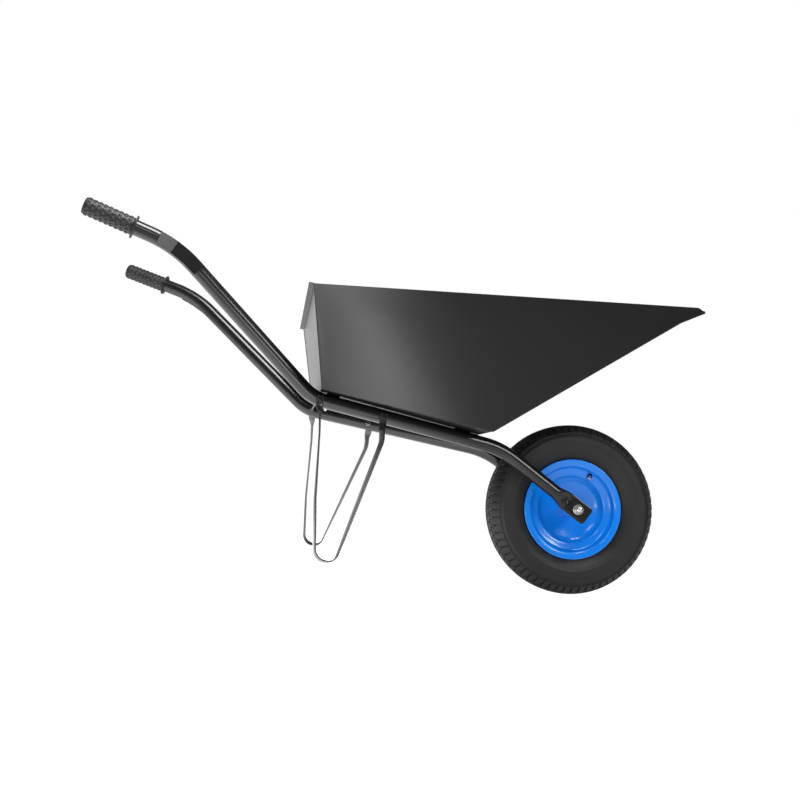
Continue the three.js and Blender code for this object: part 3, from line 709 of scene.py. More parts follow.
def tray_sheet_mesh():
    """Rear wall with its turned-out lip, floor, front wall and pouring lip, from one sheet."""
    top, bottom = Vector(TRAY["rear_top"]), Vector(TRAY["rear_bottom"])
    wall = (top - bottom).normalized()
    lip = top + Vector((-wall.y, REAR_LIP["droop"] * wall.x)) * REAR_LIP["length"]
    corners = [tuple(lip), TRAY["rear_top"], TRAY["rear_bottom"], TRAY["front_bottom"],
               TRAY["lip_start"], TRAY["lip_end"]]
    line = bent_line(corners, SHEET_BENDS)
    dense = []
    for low, high in zip(line, line[1:]):
        count = max(1, round(math.dist(low, high) / 24))
        dense += [(low[0] + (high[0] - low[0]) * k / count,
                   low[1] + (high[1] - low[1]) * k / count) for k in range(count)]
    outer, inner = thickened(dense + [line[-1]], SHEET)
    rings = []
    for k in range(SHEET_COLUMNS + 1):
        side = 2 * k / SHEET_COLUMNS - 1
        rings.append([
            Vector((AXLE.x + x * MM, side * (tray_half_width(x, z) - SEAM_GAP) * MM, z * MM))
            for x, z in outer + inner[::-1]])
    return mesh_from(rings, "tray_sheet", smooth_angle=28)


def seam_tree():
    """A rippled bead along a curve, as a small weld leaves it."""
    sizes = [("Radius", "NodeSocketFloat", 0.0012), ("Spacing", "NodeSocketFloat", 0.002),
             ("Path", "NodeSocketObject", None), ("Material", "NodeSocketMaterial", None)]
    tree, source, sink = geometry_tree("Weld bead", sizes)
    new, link, given = tree.nodes.new, tree.links.new, source.outputs
    path = new("GeometryNodeObjectInfo")
    link(given["Path"], path.inputs["Object"])
    curve = new("GeometryNodeMeshToCurve")
    link(path.outputs["Geometry"], curve.inputs[0])
    even = new("GeometryNodeResampleCurve")
    even.mode = "LENGTH"
    link(curve.outputs[0], even.inputs["Curve"])
    link(given["Spacing"], even.inputs["Length"])
    index = new("GeometryNodeInputIndex").outputs[0]
    ripple = math_node(tree, "ADD", 0.88, math_node(
        tree, "MULTIPLY", math_node(tree, "SINE", math_node(tree, "MULTIPLY", index, 1.9)), 0.12))
    section = new("GeometryNodeCurvePrimitiveCircle")
    section.inputs["Resolution"].default_value = 8
    link(given["Radius"], section.inputs["Radius"])
    solid = new("GeometryNodeCurveToMesh")
    link(even.outputs[0], solid.inputs["Curve"])
    link(section.outputs[0], solid.inputs["Profile Curve"])
    link(ripple, solid.inputs["Scale"])
    solid.inputs["Fill Caps"].default_value = True
    finish_tree(tree, solid.outputs[0], given["Material"], sink)
    return tree


def bead_along(tree, points, sizes, material, name):
    """A weld bead mesh along a list of points, by its radius and ripple spacing in mm."""
    mesh = bpy.data.meshes.new(name)
    mesh.from_pydata(points, [(i, i + 1) for i in range(len(points) - 1)], [])
    path = placed(name + "_path", mesh)
    bead = run_tree(tree, name, {
        "Radius": sizes["radius"] * MM, "Spacing": sizes["spacing"] * MM, "Path": path,
        "Material": bpy.data.materials[material]})
    bpy.data.objects.remove(path)
    return painted(bead, material)


def tray_edge(names):
    """Points along the right side panel's edge, for its seam."""
    return [right_side(x, tray_half_width(x, z) + TRAY_BEAD["off"], z)
            for x, z in (TRAY[name] for name in names)]


def tray_hem_mesh():
    """The rolled front edge of the pouring lip."""
    x, z = TRAY["lip_end"]
    half, edge = tray_half_width(x, z) + SHEET, 0.8
    outline = [(-half, POINT), (-half, HEM - edge), (-half + edge, HEM), (half - edge, HEM),
               (half, HEM - edge), (half, POINT)]
    return rod(outline, right_side(x - HEM, 0, z), ACROSS, 24, "hem")


class WHEELBARROW_OT_tray(bpy.types.Operator):
    """Makes the folded tray sheet, its side panels and the seams between them"""

    bl_idname = "wheelbarrow.tray"
    bl_label = "Tray"

    def execute(self, context):
        paint, slot = "Tray paint", "tray_paint"
        bevelled(new_piece("tray_folded_sheet", painted(tray_sheet_mesh(), paint), "barrow",
                           ["tray_sheet"]), SHEET_EDGE)
        new_piece("tray_front_hem", painted(tray_hem_mesh(), paint), "barrow")
        new_pair(painted(tray_side_mesh(), paint), "tray_panel", "tray_side", SHEET_EDGE)
        seam = bead_along(seam_tree(), tray_edge(TRAY_LOWER), TRAY_BEAD, paint, "tray_seam")
        new_pair(seam, "tray_seam")
        return {"FINISHED"}


# ------------------------------------------------------------------ rails


class WHEELBARROW_OT_rails(bpy.types.Operator):
    """Makes the two tube rails and the bent plates on their bends"""

    bl_idname = "wheelbarrow.rails"
    bl_label = "Rails"

    def execute(self, context):
        paint, slot = "Frame paint", "frame_paint"
        new_pair(painted(rail_mesh(), paint), "tube", "rail", 0.35, 45)
        new_pair(painted(bend_plate_mesh(), paint), "folded_plate", "bend_plate", 0.6, 45)
        return {"FINISHED"}


# ------------------------------------------------------------------ legs


def seat(name):
    """Where a leg bolt crosses the rail: centre, way, outward direction and strap centre."""
    centre, way = rail_at(LEG_BOLTS[name])
    out = outside(way)
    offset = TUBE_RADIUS + FIT + STRAP["thickness"] / 2
    return centre, way, out, centre + out * offset * MM


def leg_route():
    """Stops of the right leg, from its rear tab round its foot to its front tab."""
    ends = {name: seat(name) for name in LEG_BOLTS}
    rear_tab, front_tab = ends["rear"][3], ends["front"][3]
    foot = right_side(FOOT[0], FOOT[1], STRAP["thickness"] / 2)
    normal = (front_tab - rear_tab).cross(foot - rear_tab).normalized()

    def in_plane(place):
        point = right_side(place[0], 0, place[1])
        point.y = (foot - point).dot(normal) / normal.y
        return point

    loop = rounded([in_plane(place) for place in LEG_LOOP], LEG_RADII, 12)
    dense = [loop[0]]
    for low, high in zip(loop, loop[1:]):
        count = max(1, round((high - low).length / (12 * MM)))
        dense += [low.lerp(high, k / count) for k in range(1, count + 1)]
    foot_z = STRAP["thickness"] * MM
    stops = []
    for point in dense:
        name = "rear" if point.x < foot.x else "front"
        way = ends[name][1]
        side = way if way.dot(normal) > 0 else -way
        left_over = LEG_TWIST_LEFT * min(max((point.z - foot_z) / (dense[0].z - foot_z), 0), 1)
        stops.append((point, (side * left_over + normal * (1 - left_over)).normalized(),
                      STRAP["width"]))
    for name, at_start in (("rear", True), ("front", False)):
        _, way, _, tab = ends[name]
        turned_end = dense[0] if at_start else dense[-1]
        onward = (dense[1] - dense[0] if at_start else dense[-2] - dense[-1]).normalized()
        low = tab - UP * TAB["below"] * MM
        side = way if way.dot(normal) > 0 else -way
        reach = (turned_end - low).length
        twist = []
        for k in range(1, 12):
            t = k / 12
            h = (2 * t ** 3 - 3 * t ** 2 + 1, t ** 3 - 2 * t ** 2 + t,
                 3 * t ** 2 - 2 * t ** 3, t ** 3 - t ** 2)
            point = (low * h[0] - UP * reach * h[1] + turned_end * h[2] + onward * reach * h[3])
            turn = smoothstep(t) * (1 - LEG_TWIST_LEFT)
            twist.append((point, (side * (1 - turn) + normal * turn).normalized(),
                          STRAP["width"]))
        top = tab + UP * TAB["above"] * MM
        tab_stops = [(top - UP * d * MM, side, STRAP["width"] - 2 * cut)
                     for d, cut in ((0, 3), (0.35, 1.9), (1.0, 0.9), (1.9, 0.25), (3, 0))]
        tab_stops += [(top.lerp(low, k / 6), side, STRAP["width"]) for k in range(2, 7)]
        lead = tab_stops + twist
        stops = lead + stops if at_start else stops + lead[::-1]
    return stops


def strap_mesh(stops, name):
    """A flat bar with rounded edges along stops of (centre, direction of its width, width)."""
    points = [stop[0] for stop in stops]
    edge = STRAP["edge"]
    rings = []
    for i, (point, width_way, width) in enumerate(stops):
        way = way_at(points, i)
        across = (width_way - way * way.dot(width_way)).normalized()
        face = way.cross(across)
        a, b = width / 2, STRAP["thickness"] / 2
        corners = []
        for sx, sy, turn in ((1, 1, 0), (-1, 1, 90), (-1, -1, 180), (1, -1, 270)):
            for k in range(4):
                angle = math.radians(turn + 30 * k)
                corners.append((sx * (a - edge) + edge * math.cos(angle),
                                sy * (b - edge) + edge * math.sin(angle)))
        rings.append([point + (across * x + face * y) * MM for x, y in corners])
    return mesh_from(rings, name, smooth_angle=50)


def hexagon_mesh(centre, way, across_flats, low, high, name, chamfer, bore=0):
    """A hexagon head or nut along a line; it lies from low to high, in mm, chamfered on top."""
    side = way.orthogonal().normalized()
    other = way.cross(side)
    angles = [2 * math.pi * k / 60 for k in range(60)]
    rings = []

    def ring(height, radii):
        return [centre + (way * height
                          + (side * math.cos(a) + other * math.sin(a)) * radius) * MM
                for a, radius in zip(angles, radii)]

    steep = chamfer * 0.55
    top_flat = across_flats / 2 * 0.96
    corner = across_flats * 0.5774          # half of the distance across the corners
    for height, shrink in ((low, 1), (high - chamfer, 1), (high - chamfer + steep, 0.5),
                           (high, 0)):
        limit = top_flat + (corner - top_flat) * shrink
        radii = []
        for angle in angles:
            local = (angle + math.pi / 6) % (math.pi / 3) - math.pi / 6
            radii.append(min(across_flats / 2 / math.cos(local), limit))
        rings.append(ring(height, radii))
    if bore:
        edge = 0.8
        rings += [ring(height, [radius] * len(angles)) for height, radius in (
            (high, bore + edge), (high - edge, bore), (low + edge, bore), (low, bore + edge))]
    return mesh_from(rings, name, cyclic=bool(bore), smooth_angle=25)


def threaded_end(length, radius):
    """Outline of a bolt's end with a chamfer and fine thread ridges, towards the head."""
    outline = [(length, POINT), (length, radius - 0.7), (length - 0.7, radius - 0.1)]
    d = length - 1.2
    while d > length - 9:
        outline += [(d, radius - 0.45), (d - 0.5, radius)]
        d -= 1.0
    return outline


def tie_mesh(bolt):
    """The thin tie across the barrow at a rail's rear leg bolt, with a boss at each end."""
    end, boss, radius = abs(bolt.y) / MM - TIE["inset"], TIE["boss"], TIE["radius"]
    half = [(end, POINT), (end, boss - 0.5), (end - 0.5, boss), (end - 11.5, boss),
            (end - 12.4, boss - 0.8), (end - 14.2, radius + 0.6), (end - 15.5, radius)]
    return rod([(-d, r) for d, r in half] + [(d, r) for d, r in reversed(half)],
               Vector((bolt.x, 0, bolt.z)), ACROSS, 32, "tie_bar")


class WHEELBARROW_OT_legs(bpy.types.Operator):
    """Makes the two flat bar legs, their bolts and nuts and the thin tie between the rails"""

    bl_idname = "wheelbarrow.legs"
    bl_label = "Legs and Tie"

    def execute(self, context):
        paint, slot = "Frame paint", "frame_paint"
        new_pair(painted(strap_mesh(leg_route(), "leg"), "Leg paint"), "leg_loop", "leg")
        face = TUBE_RADIUS + FIT
        radius, flats = M6["radius"], M6["flats"]
        for name in LEG_BOLTS:
            centre, _, out, _ = seat(name)
            top = face + STRAP["thickness"] + FIT
            head = hexagon_mesh(centre, out, flats, top, top + LEG_HEAD, "head", 0.6)
            shank = rod([(-d, r) for d, r in threaded_end(face + M6["nut"] + 3, radius)]
                        + [(top + 0.5, radius), (top + 0.5, POINT)], centre, out, 24, "shank", 60)
            new_pair(painted(joined([head, shank], "leg_screw"), paint), f"{name}_leg_screw",
                     f"{name}_leg_bolt")
        centre, _, out, _ = seat("front")
        nut = hexagon_mesh(centre, -out, flats, face, face + M6["nut"], "nut", 0.8, M6["hole"])
        new_pair(painted(nut, "Zinc"), "front_leg_hex_nut", "front_leg_nut")
        new_piece("tie_bar", painted(tie_mesh(seat("rear")[0]), paint), "barrow",
                  ["leg_brace"])
        return {"FINISHED"}


# ------------------------------------------------------------------ floor fittings


def on_floor(forward, outward, lift):
    """A point above the tray floor's outer face."""
    x0, z0 = TRAY["rear_bottom"]
    x1, z1 = TRAY["front_bottom"]
    slope = (z1 - z0) / (x1 - x0)
    normal = Vector((-slope, 0, 1)).normalized()
    point = Vector((AXLE.x + forward * MM, -outward * MM, (z0 + slope * (forward - x0)) * MM))
    return point + normal * lift * MM, normal


def member_mesh(name):
    """A flat cross member between the rails under the tray floor."""
    x, width, thick = (MEMBERS[name][k] for k in ("x", "width", "thickness"))
    edge = 1.2
    rings = []
    count = 24
    for k in range(count + 1):
        side = 2 * k / count - 1
        ring = []
        for sx, sz, turn in ((1, 1, 0), (-1, 1, 90), (-1, -1, 180), (1, -1, 270)):
            for j in range(4):
                angle = math.radians(turn + 30 * j)
                across = sx * (width / 2 - edge) + edge * math.cos(angle)
                lift = -FIT - thick / 2 + sz * (thick / 2 - edge) + edge * math.sin(angle)
                end = abs(rail_at(x + across)[0].y) / MM - MEMBER_INSET
                ring.append(on_floor(x + across, -side * end, lift)[0])
        rings.append(ring)
    return mesh_from(rings, name, smooth_angle=50)


def member_seam(name):
    """The line of the weld between a cross member's end and the right rail."""
    x, width, thick = (MEMBERS[name][k] for k in ("x", "width", "thickness"))
    points = []
    for k in range(9):
        along = x + width * (k / 8 - 0.5)
        end = abs(rail_at(along)[0].y) / MM - MEMBER_BEAD["inset"]
        points.append(on_floor(along, end, -thick - MEMBER_BEAD["below"])[0])
    return points


class WHEELBARROW_OT_floor_fittings(bpy.types.Operator):
    """Makes the cross members under the tray, their welds and the bolts that hold the floor"""

    bl_idname = "wheelbarrow.floor_fittings"
    bl_label = "Floor Fittings"

    def execute(self, context):
        paint, slot = "Frame paint", "frame_paint"
        bead = seam_tree()
        for name, sizes in MEMBERS.items():
            new_piece(f"{name}_floor_bar", painted(member_mesh(name), paint), "barrow",
                      [f"{name}_cross_member"])
            weld = bead_along(bead, member_seam(name), MEMBER_BEAD, paint, f"{name}_weld")
            new_pair(weld, f"{name}_weld")
            base, normal = on_floor(sizes["x"], sizes["bolt"], 0)
            top = SHEET + FIT
            outline = [(-d, r) for d, r in threaded_end(14, M6["radius"])]
            outline += [(top + d, r) for d, r in (
                (0, M6["radius"]), (0, 8), (0.5, 8.1), (1.0, 7.8), (1.8, 6.9), (2.6, 5.4),
                (3.3, 3.4), (3.65, 1.6), (3.7, POINT))]
            bolt = rod(outline, base, normal, 40, "carriage_bolt")
            under = sizes["thickness"] + 2 * FIT
            nut = hexagon_mesh(base, -normal, M6["flats"], under, under + M6["nut"], "nut", 0.8,
                               M6["hole"])
            for mesh, kind in ((bolt, "bolt"), (nut, "nut")):
                new_pair(painted(mesh, "Zinc"), f"{name}_floor_{kind}",
                         f"{name}_tray_{kind}")
        return {"FINISHED"}


# ------------------------------------------------------------------ wheel


def tread_radius(y):
    """Radius of the tread's floor at a distance from the middle plane, in mm."""
    return (TREAD["crown"] - TREAD["depth"]
            - TREAD["fall"] * (min(abs(y) / TREAD["edge"], 1.2)) ** TREAD["power"])


def tyre_mesh():
    """The tyre's casing: smooth sidewalls and the floor between the tread blocks."""
    floor = [(tread_radius(y), y) for y in (42.5, 40, 37, 33, 28, 22, 15, 8)]
    side = list(TYRE_SIDEWALL) + floor + [(tread_radius(0), 0)]
    inside = flip_side(TYRE_INSIDE) + list(TYRE_INSIDE)
    return turned(side + flip_side(side)[1:] + inside, WHEEL_SEGMENTS, "tyre_casing",
                  smooth_angle=40)


def block_mesh(corners, name):
    """One tread block from its plan, (turn in degrees, y in mm), raised off the tyre."""
    middle = [sum(corner[k] for corner in corners) / len(corners) for k in (0, 1)]
    rings = []
    for level, inset in ((-0.6, 0), (0.80, 0.05), (0.96, 0.22), (1, 0.6)):
        ring = []
        for turn, y in corners:
            flat = Vector(((turn - middle[0]) * math.radians(1) * TREAD["middle"],
                           y - middle[1]))
            flat *= max(0, 1 - inset / flat.length)
            at_y = middle[1] + flat.y
            angle = math.radians(middle[0]) + flat.x / TREAD["middle"]
            fade = 1 - 0.65 * smoothstep((abs(at_y) - 40) / 7)
            radius = tread_radius(at_y) + TREAD["depth"] * level * fade
            ring.append(AXLE + MM * Vector((
                radius * math.sin(angle), at_y, radius * math.cos(angle))))
        rings.append(ring)
    return mesh_from(rings, name, smooth_angle=30)


def tread_tree():
    """Turns one pitch of tread blocks round the wheel's axle."""
    sizes = [("Pitches", "NodeSocketInt", 66), ("Axle", "NodeSocketVector", tuple(AXLE)),
             ("Pitch Mesh", "NodeSocketObject", None), ("Material", "NodeSocketMaterial", None)]
    tree, source, sink = geometry_tree("Tyre tread", sizes)
    new, link, given = tree.nodes.new, tree.links.new, source.outputs
    points = new("GeometryNodePoints")
    link(given["Pitches"], points.inputs["Count"])
    link(given["Axle"], points.inputs["Position"])
    index = new("GeometryNodeInputIndex").outputs[0]
    angle = math_node(tree, "DIVIDE", math_node(tree, "MULTIPLY", index, 2 * math.pi),
                      given["Pitches"])
    turn = new("ShaderNodeCombineXYZ")
    link(angle, turn.inputs["Y"])
    pitch = new("GeometryNodeObjectInfo")
    link(given["Pitch Mesh"], pitch.inputs["Object"])
    scatter = new("GeometryNodeInstanceOnPoints")
    link(points.outputs[0], scatter.inputs["Points"])
    link(pitch.outputs["Geometry"], scatter.inputs["Instance"])
    link(turn.outputs[0], scatter.inputs["Rotation"])
    finish_tree(tree, scatter.outputs[0], given["Material"], sink)
    return tree


def tread_pitch_mesh(pitches):
    """One pitch of the tread: two shoulder blocks parted by a Z sipe, and centre blocks."""
    step, gap = 360 / pitches, TREAD_GAP
    blocks = []
    for side in (1, -1):
        shift = 0 if side == 1 else step / 2
        plan = [(0, 19.5), (0, 27), (step * 0.25, 32.5), (step * 0.25, 41), (step * 0.25, 47),
                (step * 1.25 - gap, 47), (step * 1.25 - gap, 41), (step * 1.25 - gap, 32.5),
                (step - gap, 27), (step - gap, 19.5), (step * 0.5, 19.1)]
        blocks.append(block_mesh([(turn + shift, side * y) for turn, y in plan], "shoulder"))
        plan = [(0, 6.5), (0, 15.6), (step * 0.5, 16.4), (step - gap * 1.3, 15.6),
                (step - gap * 1.3, 6.5), (step * 0.5, 5.4)]
        blocks.append(block_mesh([(turn + shift * 0.5, side * y) for turn, y in plan], "rib"))
    plan = [(0, -2.2), (0, 2.2), (step - gap * 1.6, 2.2), (step - gap * 1.6, -2.2)]
    blocks.append(block_mesh(plan, "centre"))
    pitch = joined(blocks, "tread_pitch")
    pitch.transform(Matrix.Translation(-AXLE))
    return pitch


def valve_line():
    """Start and direction of the valve, and its length in mm."""
    turn = VALVE["turn"]
    start, end = (AXLE + MM * Vector((r * math.cos(turn), y, r * math.sin(turn)))
                  for r, y in (VALVE["base"], VALVE["tip"]))
    return start, (end - start).normalized(), (end - start).length / MM


def hub_ring(inner, outer, low, high, edge, name):
    """A ring about the axle with rounded edges, from low to high along Y."""
    outline = [(inner, low + edge), (inner + edge, low), (outer - edge, low),
               (outer, low + edge), (outer, high - edge), (outer - edge, high),
               (inner + edge, high), (inner, high - edge)]
    return turned(outline, 72, name)


class WHEELBARROW_OT_tyre(bpy.types.Operator):
    """Makes the tyre with its tread blocks"""

    bl_idname = "wheelbarrow.tyre"
    bl_label = "Tyre"

    def execute(self, context):
        pitches = context.scene.wheelbarrow_looks.tread_pitches
        pattern = placed("tread_pitch", tread_pitch_mesh(pitches))
        tread = run_tree(tread_tree(), "tread", {
            "Pitches": pitches, "Axle": tuple(AXLE), "Pitch Mesh": pattern,
            "Material": bpy.data.materials["Tyre rubber"]})
        bpy.data.objects.remove(pattern)
        casing = painted(tyre_mesh(), "Tyre rubber")
        new_piece("tyre_casing", casing, "wheel", ["tyre"])
        new_piece("tyre_tread", tread, "wheel", ["tyre"])
        return {"FINISHED"}


class WHEELBARROW_OT_rim(bpy.types.Operator):
    """Makes the two pressed rim halves, the hub sleeve and the valve"""

    bl_idname = "wheelbarrow.rim"
    bl_label = "Rim, Hub and Valve"

    def execute(self, context):
        start, way, length = valve_line()
        left = turned(RIM_OUTLINE, WHEEL_SEGMENTS, "left_pressing", smooth_angle=48)
        right = drilled(mirrored(left, "right_pressing"),
                        [(start + way * length * MM / 2, way, VALVE["hole"], length + 14)])
        sleeve = hub_ring(16.3, 19, -52, 52, 0.5, "hub_tube")
        for mesh, name, node in ((left, "left_pressing", "left_rim_half"),
                                 (right, "right_pressing", "right_rim_half"),
                                 (sleeve, "hub_tube", "hub_sleeve")):
            new_piece(name, painted(mesh, "Rim paint"), "wheel", [node])
        radius = VALVE["stem"]
        stem = rod([(0, POINT), (0, radius), (length - 9, radius)]
                   + [(d, r) for d, r in reversed(threaded_end(length, radius))],
                   start, way, 28, "valve_tube")
        cap = rod([(length - 5.5 + d, r) for d, r in (
            (0, POINT), (0, 4.1), (0.3, 4.4), (4.5, 4.4), (6.1, 4.0), (6.8, 2.9), (7, POINT))],
            start, way, 28, "dust_cap")
        for mesh, name, node in ((stem, "valve_tube", "valve_stem"),
                                 (cap, "dust_cap", "valve_cap")):
            new_piece(name, painted(mesh, "Bearing steel"), "wheel", [node])
        return {"FINISHED"}


class WHEELBARROW_OT_axle(bpy.types.Operator):
    """Makes the axle bolt, its nut and its washers"""

    bl_idname = "wheelbarrow.axle"
    bl_label = "Axle"

    def execute(self, context):
        radius, flats, face = (M12[k] for k in ("radius", "flats", "face"))
        head = hexagon_mesh(AXLE, ACROSS, flats, face, face + 7.5, "head", 1.4)
        shank = rod([(-d, r) for d, r in threaded_end(M12["end"], radius)]
                    + [(face + 0.5, radius), (face + 0.5, POINT)], AXLE, ACROSS, 48, "shank", 60)
        nut = hexagon_mesh(AXLE, -ACROSS, flats, face, face + M12["nut"], "axle_hex_nut", 1.6,
                           M12["hole"])
        washer = hub_ring(6.3, 12, -74.3, -72.3, 0.4, "washer")
        for mesh, name, node in ((joined([head, shank], "axle_screw"), "axle_screw", "axle_bolt"),
                                 (nut, "axle_hex_nut", "axle_nut")):
            new_piece(name, painted(mesh, "Zinc"), "barrow", [node])
        new_pair(painted(washer, "Zinc"), "washer", "axle_washer")
        return {"FINISHED"}


# ------------------------------------------------------------------ materials


def shader_group(name, inputs, outputs):
    """An empty shader node group with named inputs (name, default) and outputs (name, type)."""
    tree = bpy.data.node_groups.new(name, "ShaderNodeTree")
    for label, default in inputs:
        socket = tree.interface.new_socket(label, in_out="INPUT", socket_type="NodeSocketFloat")
        socket.default_value = default
    for label, kind in outputs:
        tree.interface.new_socket(label, in_out="OUTPUT", socket_type=kind)
    return tree, tree.nodes.new("NodeGroupInput").outputs, tree.nodes.new("NodeGroupOutput").inputs


def noise(tree, scale, detail, roughness=0.5):
    """A noise texture in object coordinates; returns its value."""
    node = tree.nodes.new("ShaderNodeTexNoise")
    node.inputs["Detail"].default_value = detail
    node.inputs["Roughness"].default_value = roughness
    if isinstance(scale, bpy.types.NodeSocket):
        tree.links.new(scale, node.inputs["Scale"])
    else:
        node.inputs["Scale"].default_value = scale
    place = tree.nodes.new("ShaderNodeTexCoord").outputs["Object"]
    tree.links.new(place, node.inputs["Vector"])
    return node.outputs["Fac"]


def spread(tree, value, low, high, to_low=0.0, to_high=1.0):
    """Maps a value from one range to another, clamped."""
    node = tree.nodes.new("ShaderNodeMapRange")
    for label, number in (("Value", value), ("From Min", low), ("From Max", high),
                          ("To Min", to_low), ("To Max", to_high)):
        if isinstance(number, bpy.types.NodeSocket):
            tree.links.new(number, node.inputs[label])
        else:
            node.inputs[label].default_value = number
    return node.outputs["Result"]


def orange_peel_group():
    """Height of sprayed paint: fine ripple over slow waves, and a roughness that drifts."""
    tree, given, out = shader_group(
        "Orange Peel", [("Scale", 260), ("Wave Scale", 9), ("Fine", 0.35), ("Roughness", 0.25),
                        ("Roughness Drift", 0.05)],
        [("Height", "NodeSocketFloat"), ("Roughness", "NodeSocketFloat")])
    fine = math_node(tree, "MULTIPLY", noise(tree, given["Scale"], 2), given["Fine"])
    waves = noise(tree, given["Wave Scale"], 2)
    tree.links.new(math_node(tree, "ADD", fine, waves), out["Height"])
    drift = math_node(tree, "MULTIPLY", math_node(tree, "SUBTRACT", noise(tree, 17, 5), 0.5),
                      given["Roughness Drift"])
    tree.links.new(math_node(tree, "ADD", given["Roughness"], drift), out["Roughness"])
    return tree


def dust_group():
    """Mask of light dust that lies on faces turned upwards, broken up by noise."""
    tree, given, out = shader_group(
        "Light Dust", [("Amount", 0.12), ("Scale", 34)], [("Mask", "NodeSocketFloat")])
    normal = tree.nodes.new("ShaderNodeNewGeometry").outputs["Normal"]
    split = tree.nodes.new("ShaderNodeSeparateXYZ")
    tree.links.new(normal, split.inputs[0])
    facing = spread(tree, split.outputs["Z"], 0.1, 1)
    patches = spread(tree, noise(tree, given["Scale"], 6, 0.6), 0.42, 0.68)
    mask = math_node(tree, "MULTIPLY", math_node(tree, "MULTIPLY", facing, patches),
                     given["Amount"])
    tree.links.new(mask, out["Mask"])
    return tree


def rubber_group():
    """Height and tone of moulded rubber."""
    tree, given, out = shader_group(
        "Moulded Rubber", [("Grain Scale", 900), ("Bloom", 0.5)],
        [("Height", "NodeSocketFloat"), ("Bloom", "NodeSocketFloat")])
    grain = noise(tree, given["Grain Scale"], 3)
    tree.links.new(math_node(tree, "ADD", grain, math_node(tree, "MULTIPLY", noise(
        tree, 60, 2), 1.5)), out["Height"])
    bloom = spread(tree, noise(tree, 14, 5, 0.6), 0.4, 0.7)
    tree.links.new(math_node(tree, "MULTIPLY", bloom, given["Bloom"]), out["Bloom"])
    return tree


def zinc_group():
    """Cloudy tone and roughness of bright zinc plate."""
    tree, given, out = shader_group(
        "Zinc Plate", [("Cloud Scale", 120), ("Roughness", 0.28)],
        [("Tone", "NodeSocketFloat"), ("Roughness", "NodeSocketFloat")])
    clouds = noise(tree, given["Cloud Scale"], 5, 0.6)
    tree.links.new(spread(tree, clouds, 0.3, 0.7), out["Tone"])
    drift = math_node(tree, "MULTIPLY", math_node(tree, "SUBTRACT", clouds, 0.5), 0.2)
    tree.links.new(math_node(tree, "ADD", given["Roughness"], drift), out["Roughness"])
    return tree


def new_material(name, shader_values):
    """A material with uniform numbers set on its shader; returns its tree and shader."""
    material = bpy.data.materials.new(name)
    material.use_nodes = True
    shader = material.node_tree.nodes["Principled BSDF"]
    for label, value in shader_values.items():
        shader.inputs[label].default_value = value
    return material.node_tree, shader


def use_group(tree, group, values=None):
    """A group node whose inputs are given numbers."""
    node = tree.nodes.new("ShaderNodeGroup")
    node.node_tree = group
    for label, value in (values or {}).items():
        node.inputs[label].default_value = value
    return node


def blend_colours(tree, mask, first, second):
    """Mixes two colours by a mask and returns the colour."""
    mix = tree.nodes.new("ShaderNodeMix")
    mix.data_type = "RGBA"
    tree.links.new(mask, mix.inputs["Factor"])
    for socket, value in zip((mix.inputs[6], mix.inputs[7]), (first, second)):
        if isinstance(value, bpy.types.NodeSocket):
            tree.links.new(value, socket)
        else:
            socket.default_value = value
    return mix.outputs[2]


def bump(tree, shader, height, strength, distance):
    """A Bump node from a height to the shader's normal."""
    node = tree.nodes.new("ShaderNodeBump")
    node.inputs["Strength"].default_value = strength
    node.inputs["Distance"].default_value = distance
    tree.links.new(height, node.inputs["Height"])
    tree.links.new(node.outputs["Normal"], shader.inputs["Normal"])


def paint_material(name, colour, groups, peel, relief, dust_amount, values):
    """Sprayed paint on steel: its peel's inputs, its bump's strength and distance, its dust."""
    tree, shader = new_material(name, values)
    coat = use_group(tree, groups["peel"], peel)
    lying = use_group(tree, groups["dust"], {"Amount": dust_amount})
    tree.links.new(coat.outputs["Roughness"], shader.inputs["Roughness"])
    tree.links.new(blend_colours(tree, lying.outputs["Mask"], colour, PAINT_DUST),
                   shader.inputs["Base Color"])
    bump(tree, shader, coat.outputs["Height"], *relief)


def rubber_material(name, colour, bloom, groups, values):
    """Moulded rubber with a paler bloom and a little dust."""
    tree, shader = new_material(name, values)
    grain = use_group(tree, groups["rubber"])
    lying = use_group(tree, groups["dust"], {"Amount": 0.1})
    tone = blend_colours(tree, grain.outputs["Bloom"], colour, bloom)
    tree.links.new(blend_colours(tree, lying.outputs["Mask"], tone, RUBBER_DUST),
                   shader.inputs["Base Color"])
    bump(tree, shader, grain.outputs["Height"], 0.12, 0.0001)


def plated_material(name, group, values, dark, light):
    """Bright metal with a cloudy tone and roughness."""
    tree, shader = new_material(name, {"Metallic": 1.0})
    plate = use_group(tree, group, values)
    tree.links.new(blend_colours(tree, plate.outputs["Tone"], dark, light),
                   shader.inputs["Base Color"])
    tree.links.new(plate.outputs["Roughness"], shader.inputs["Roughness"])


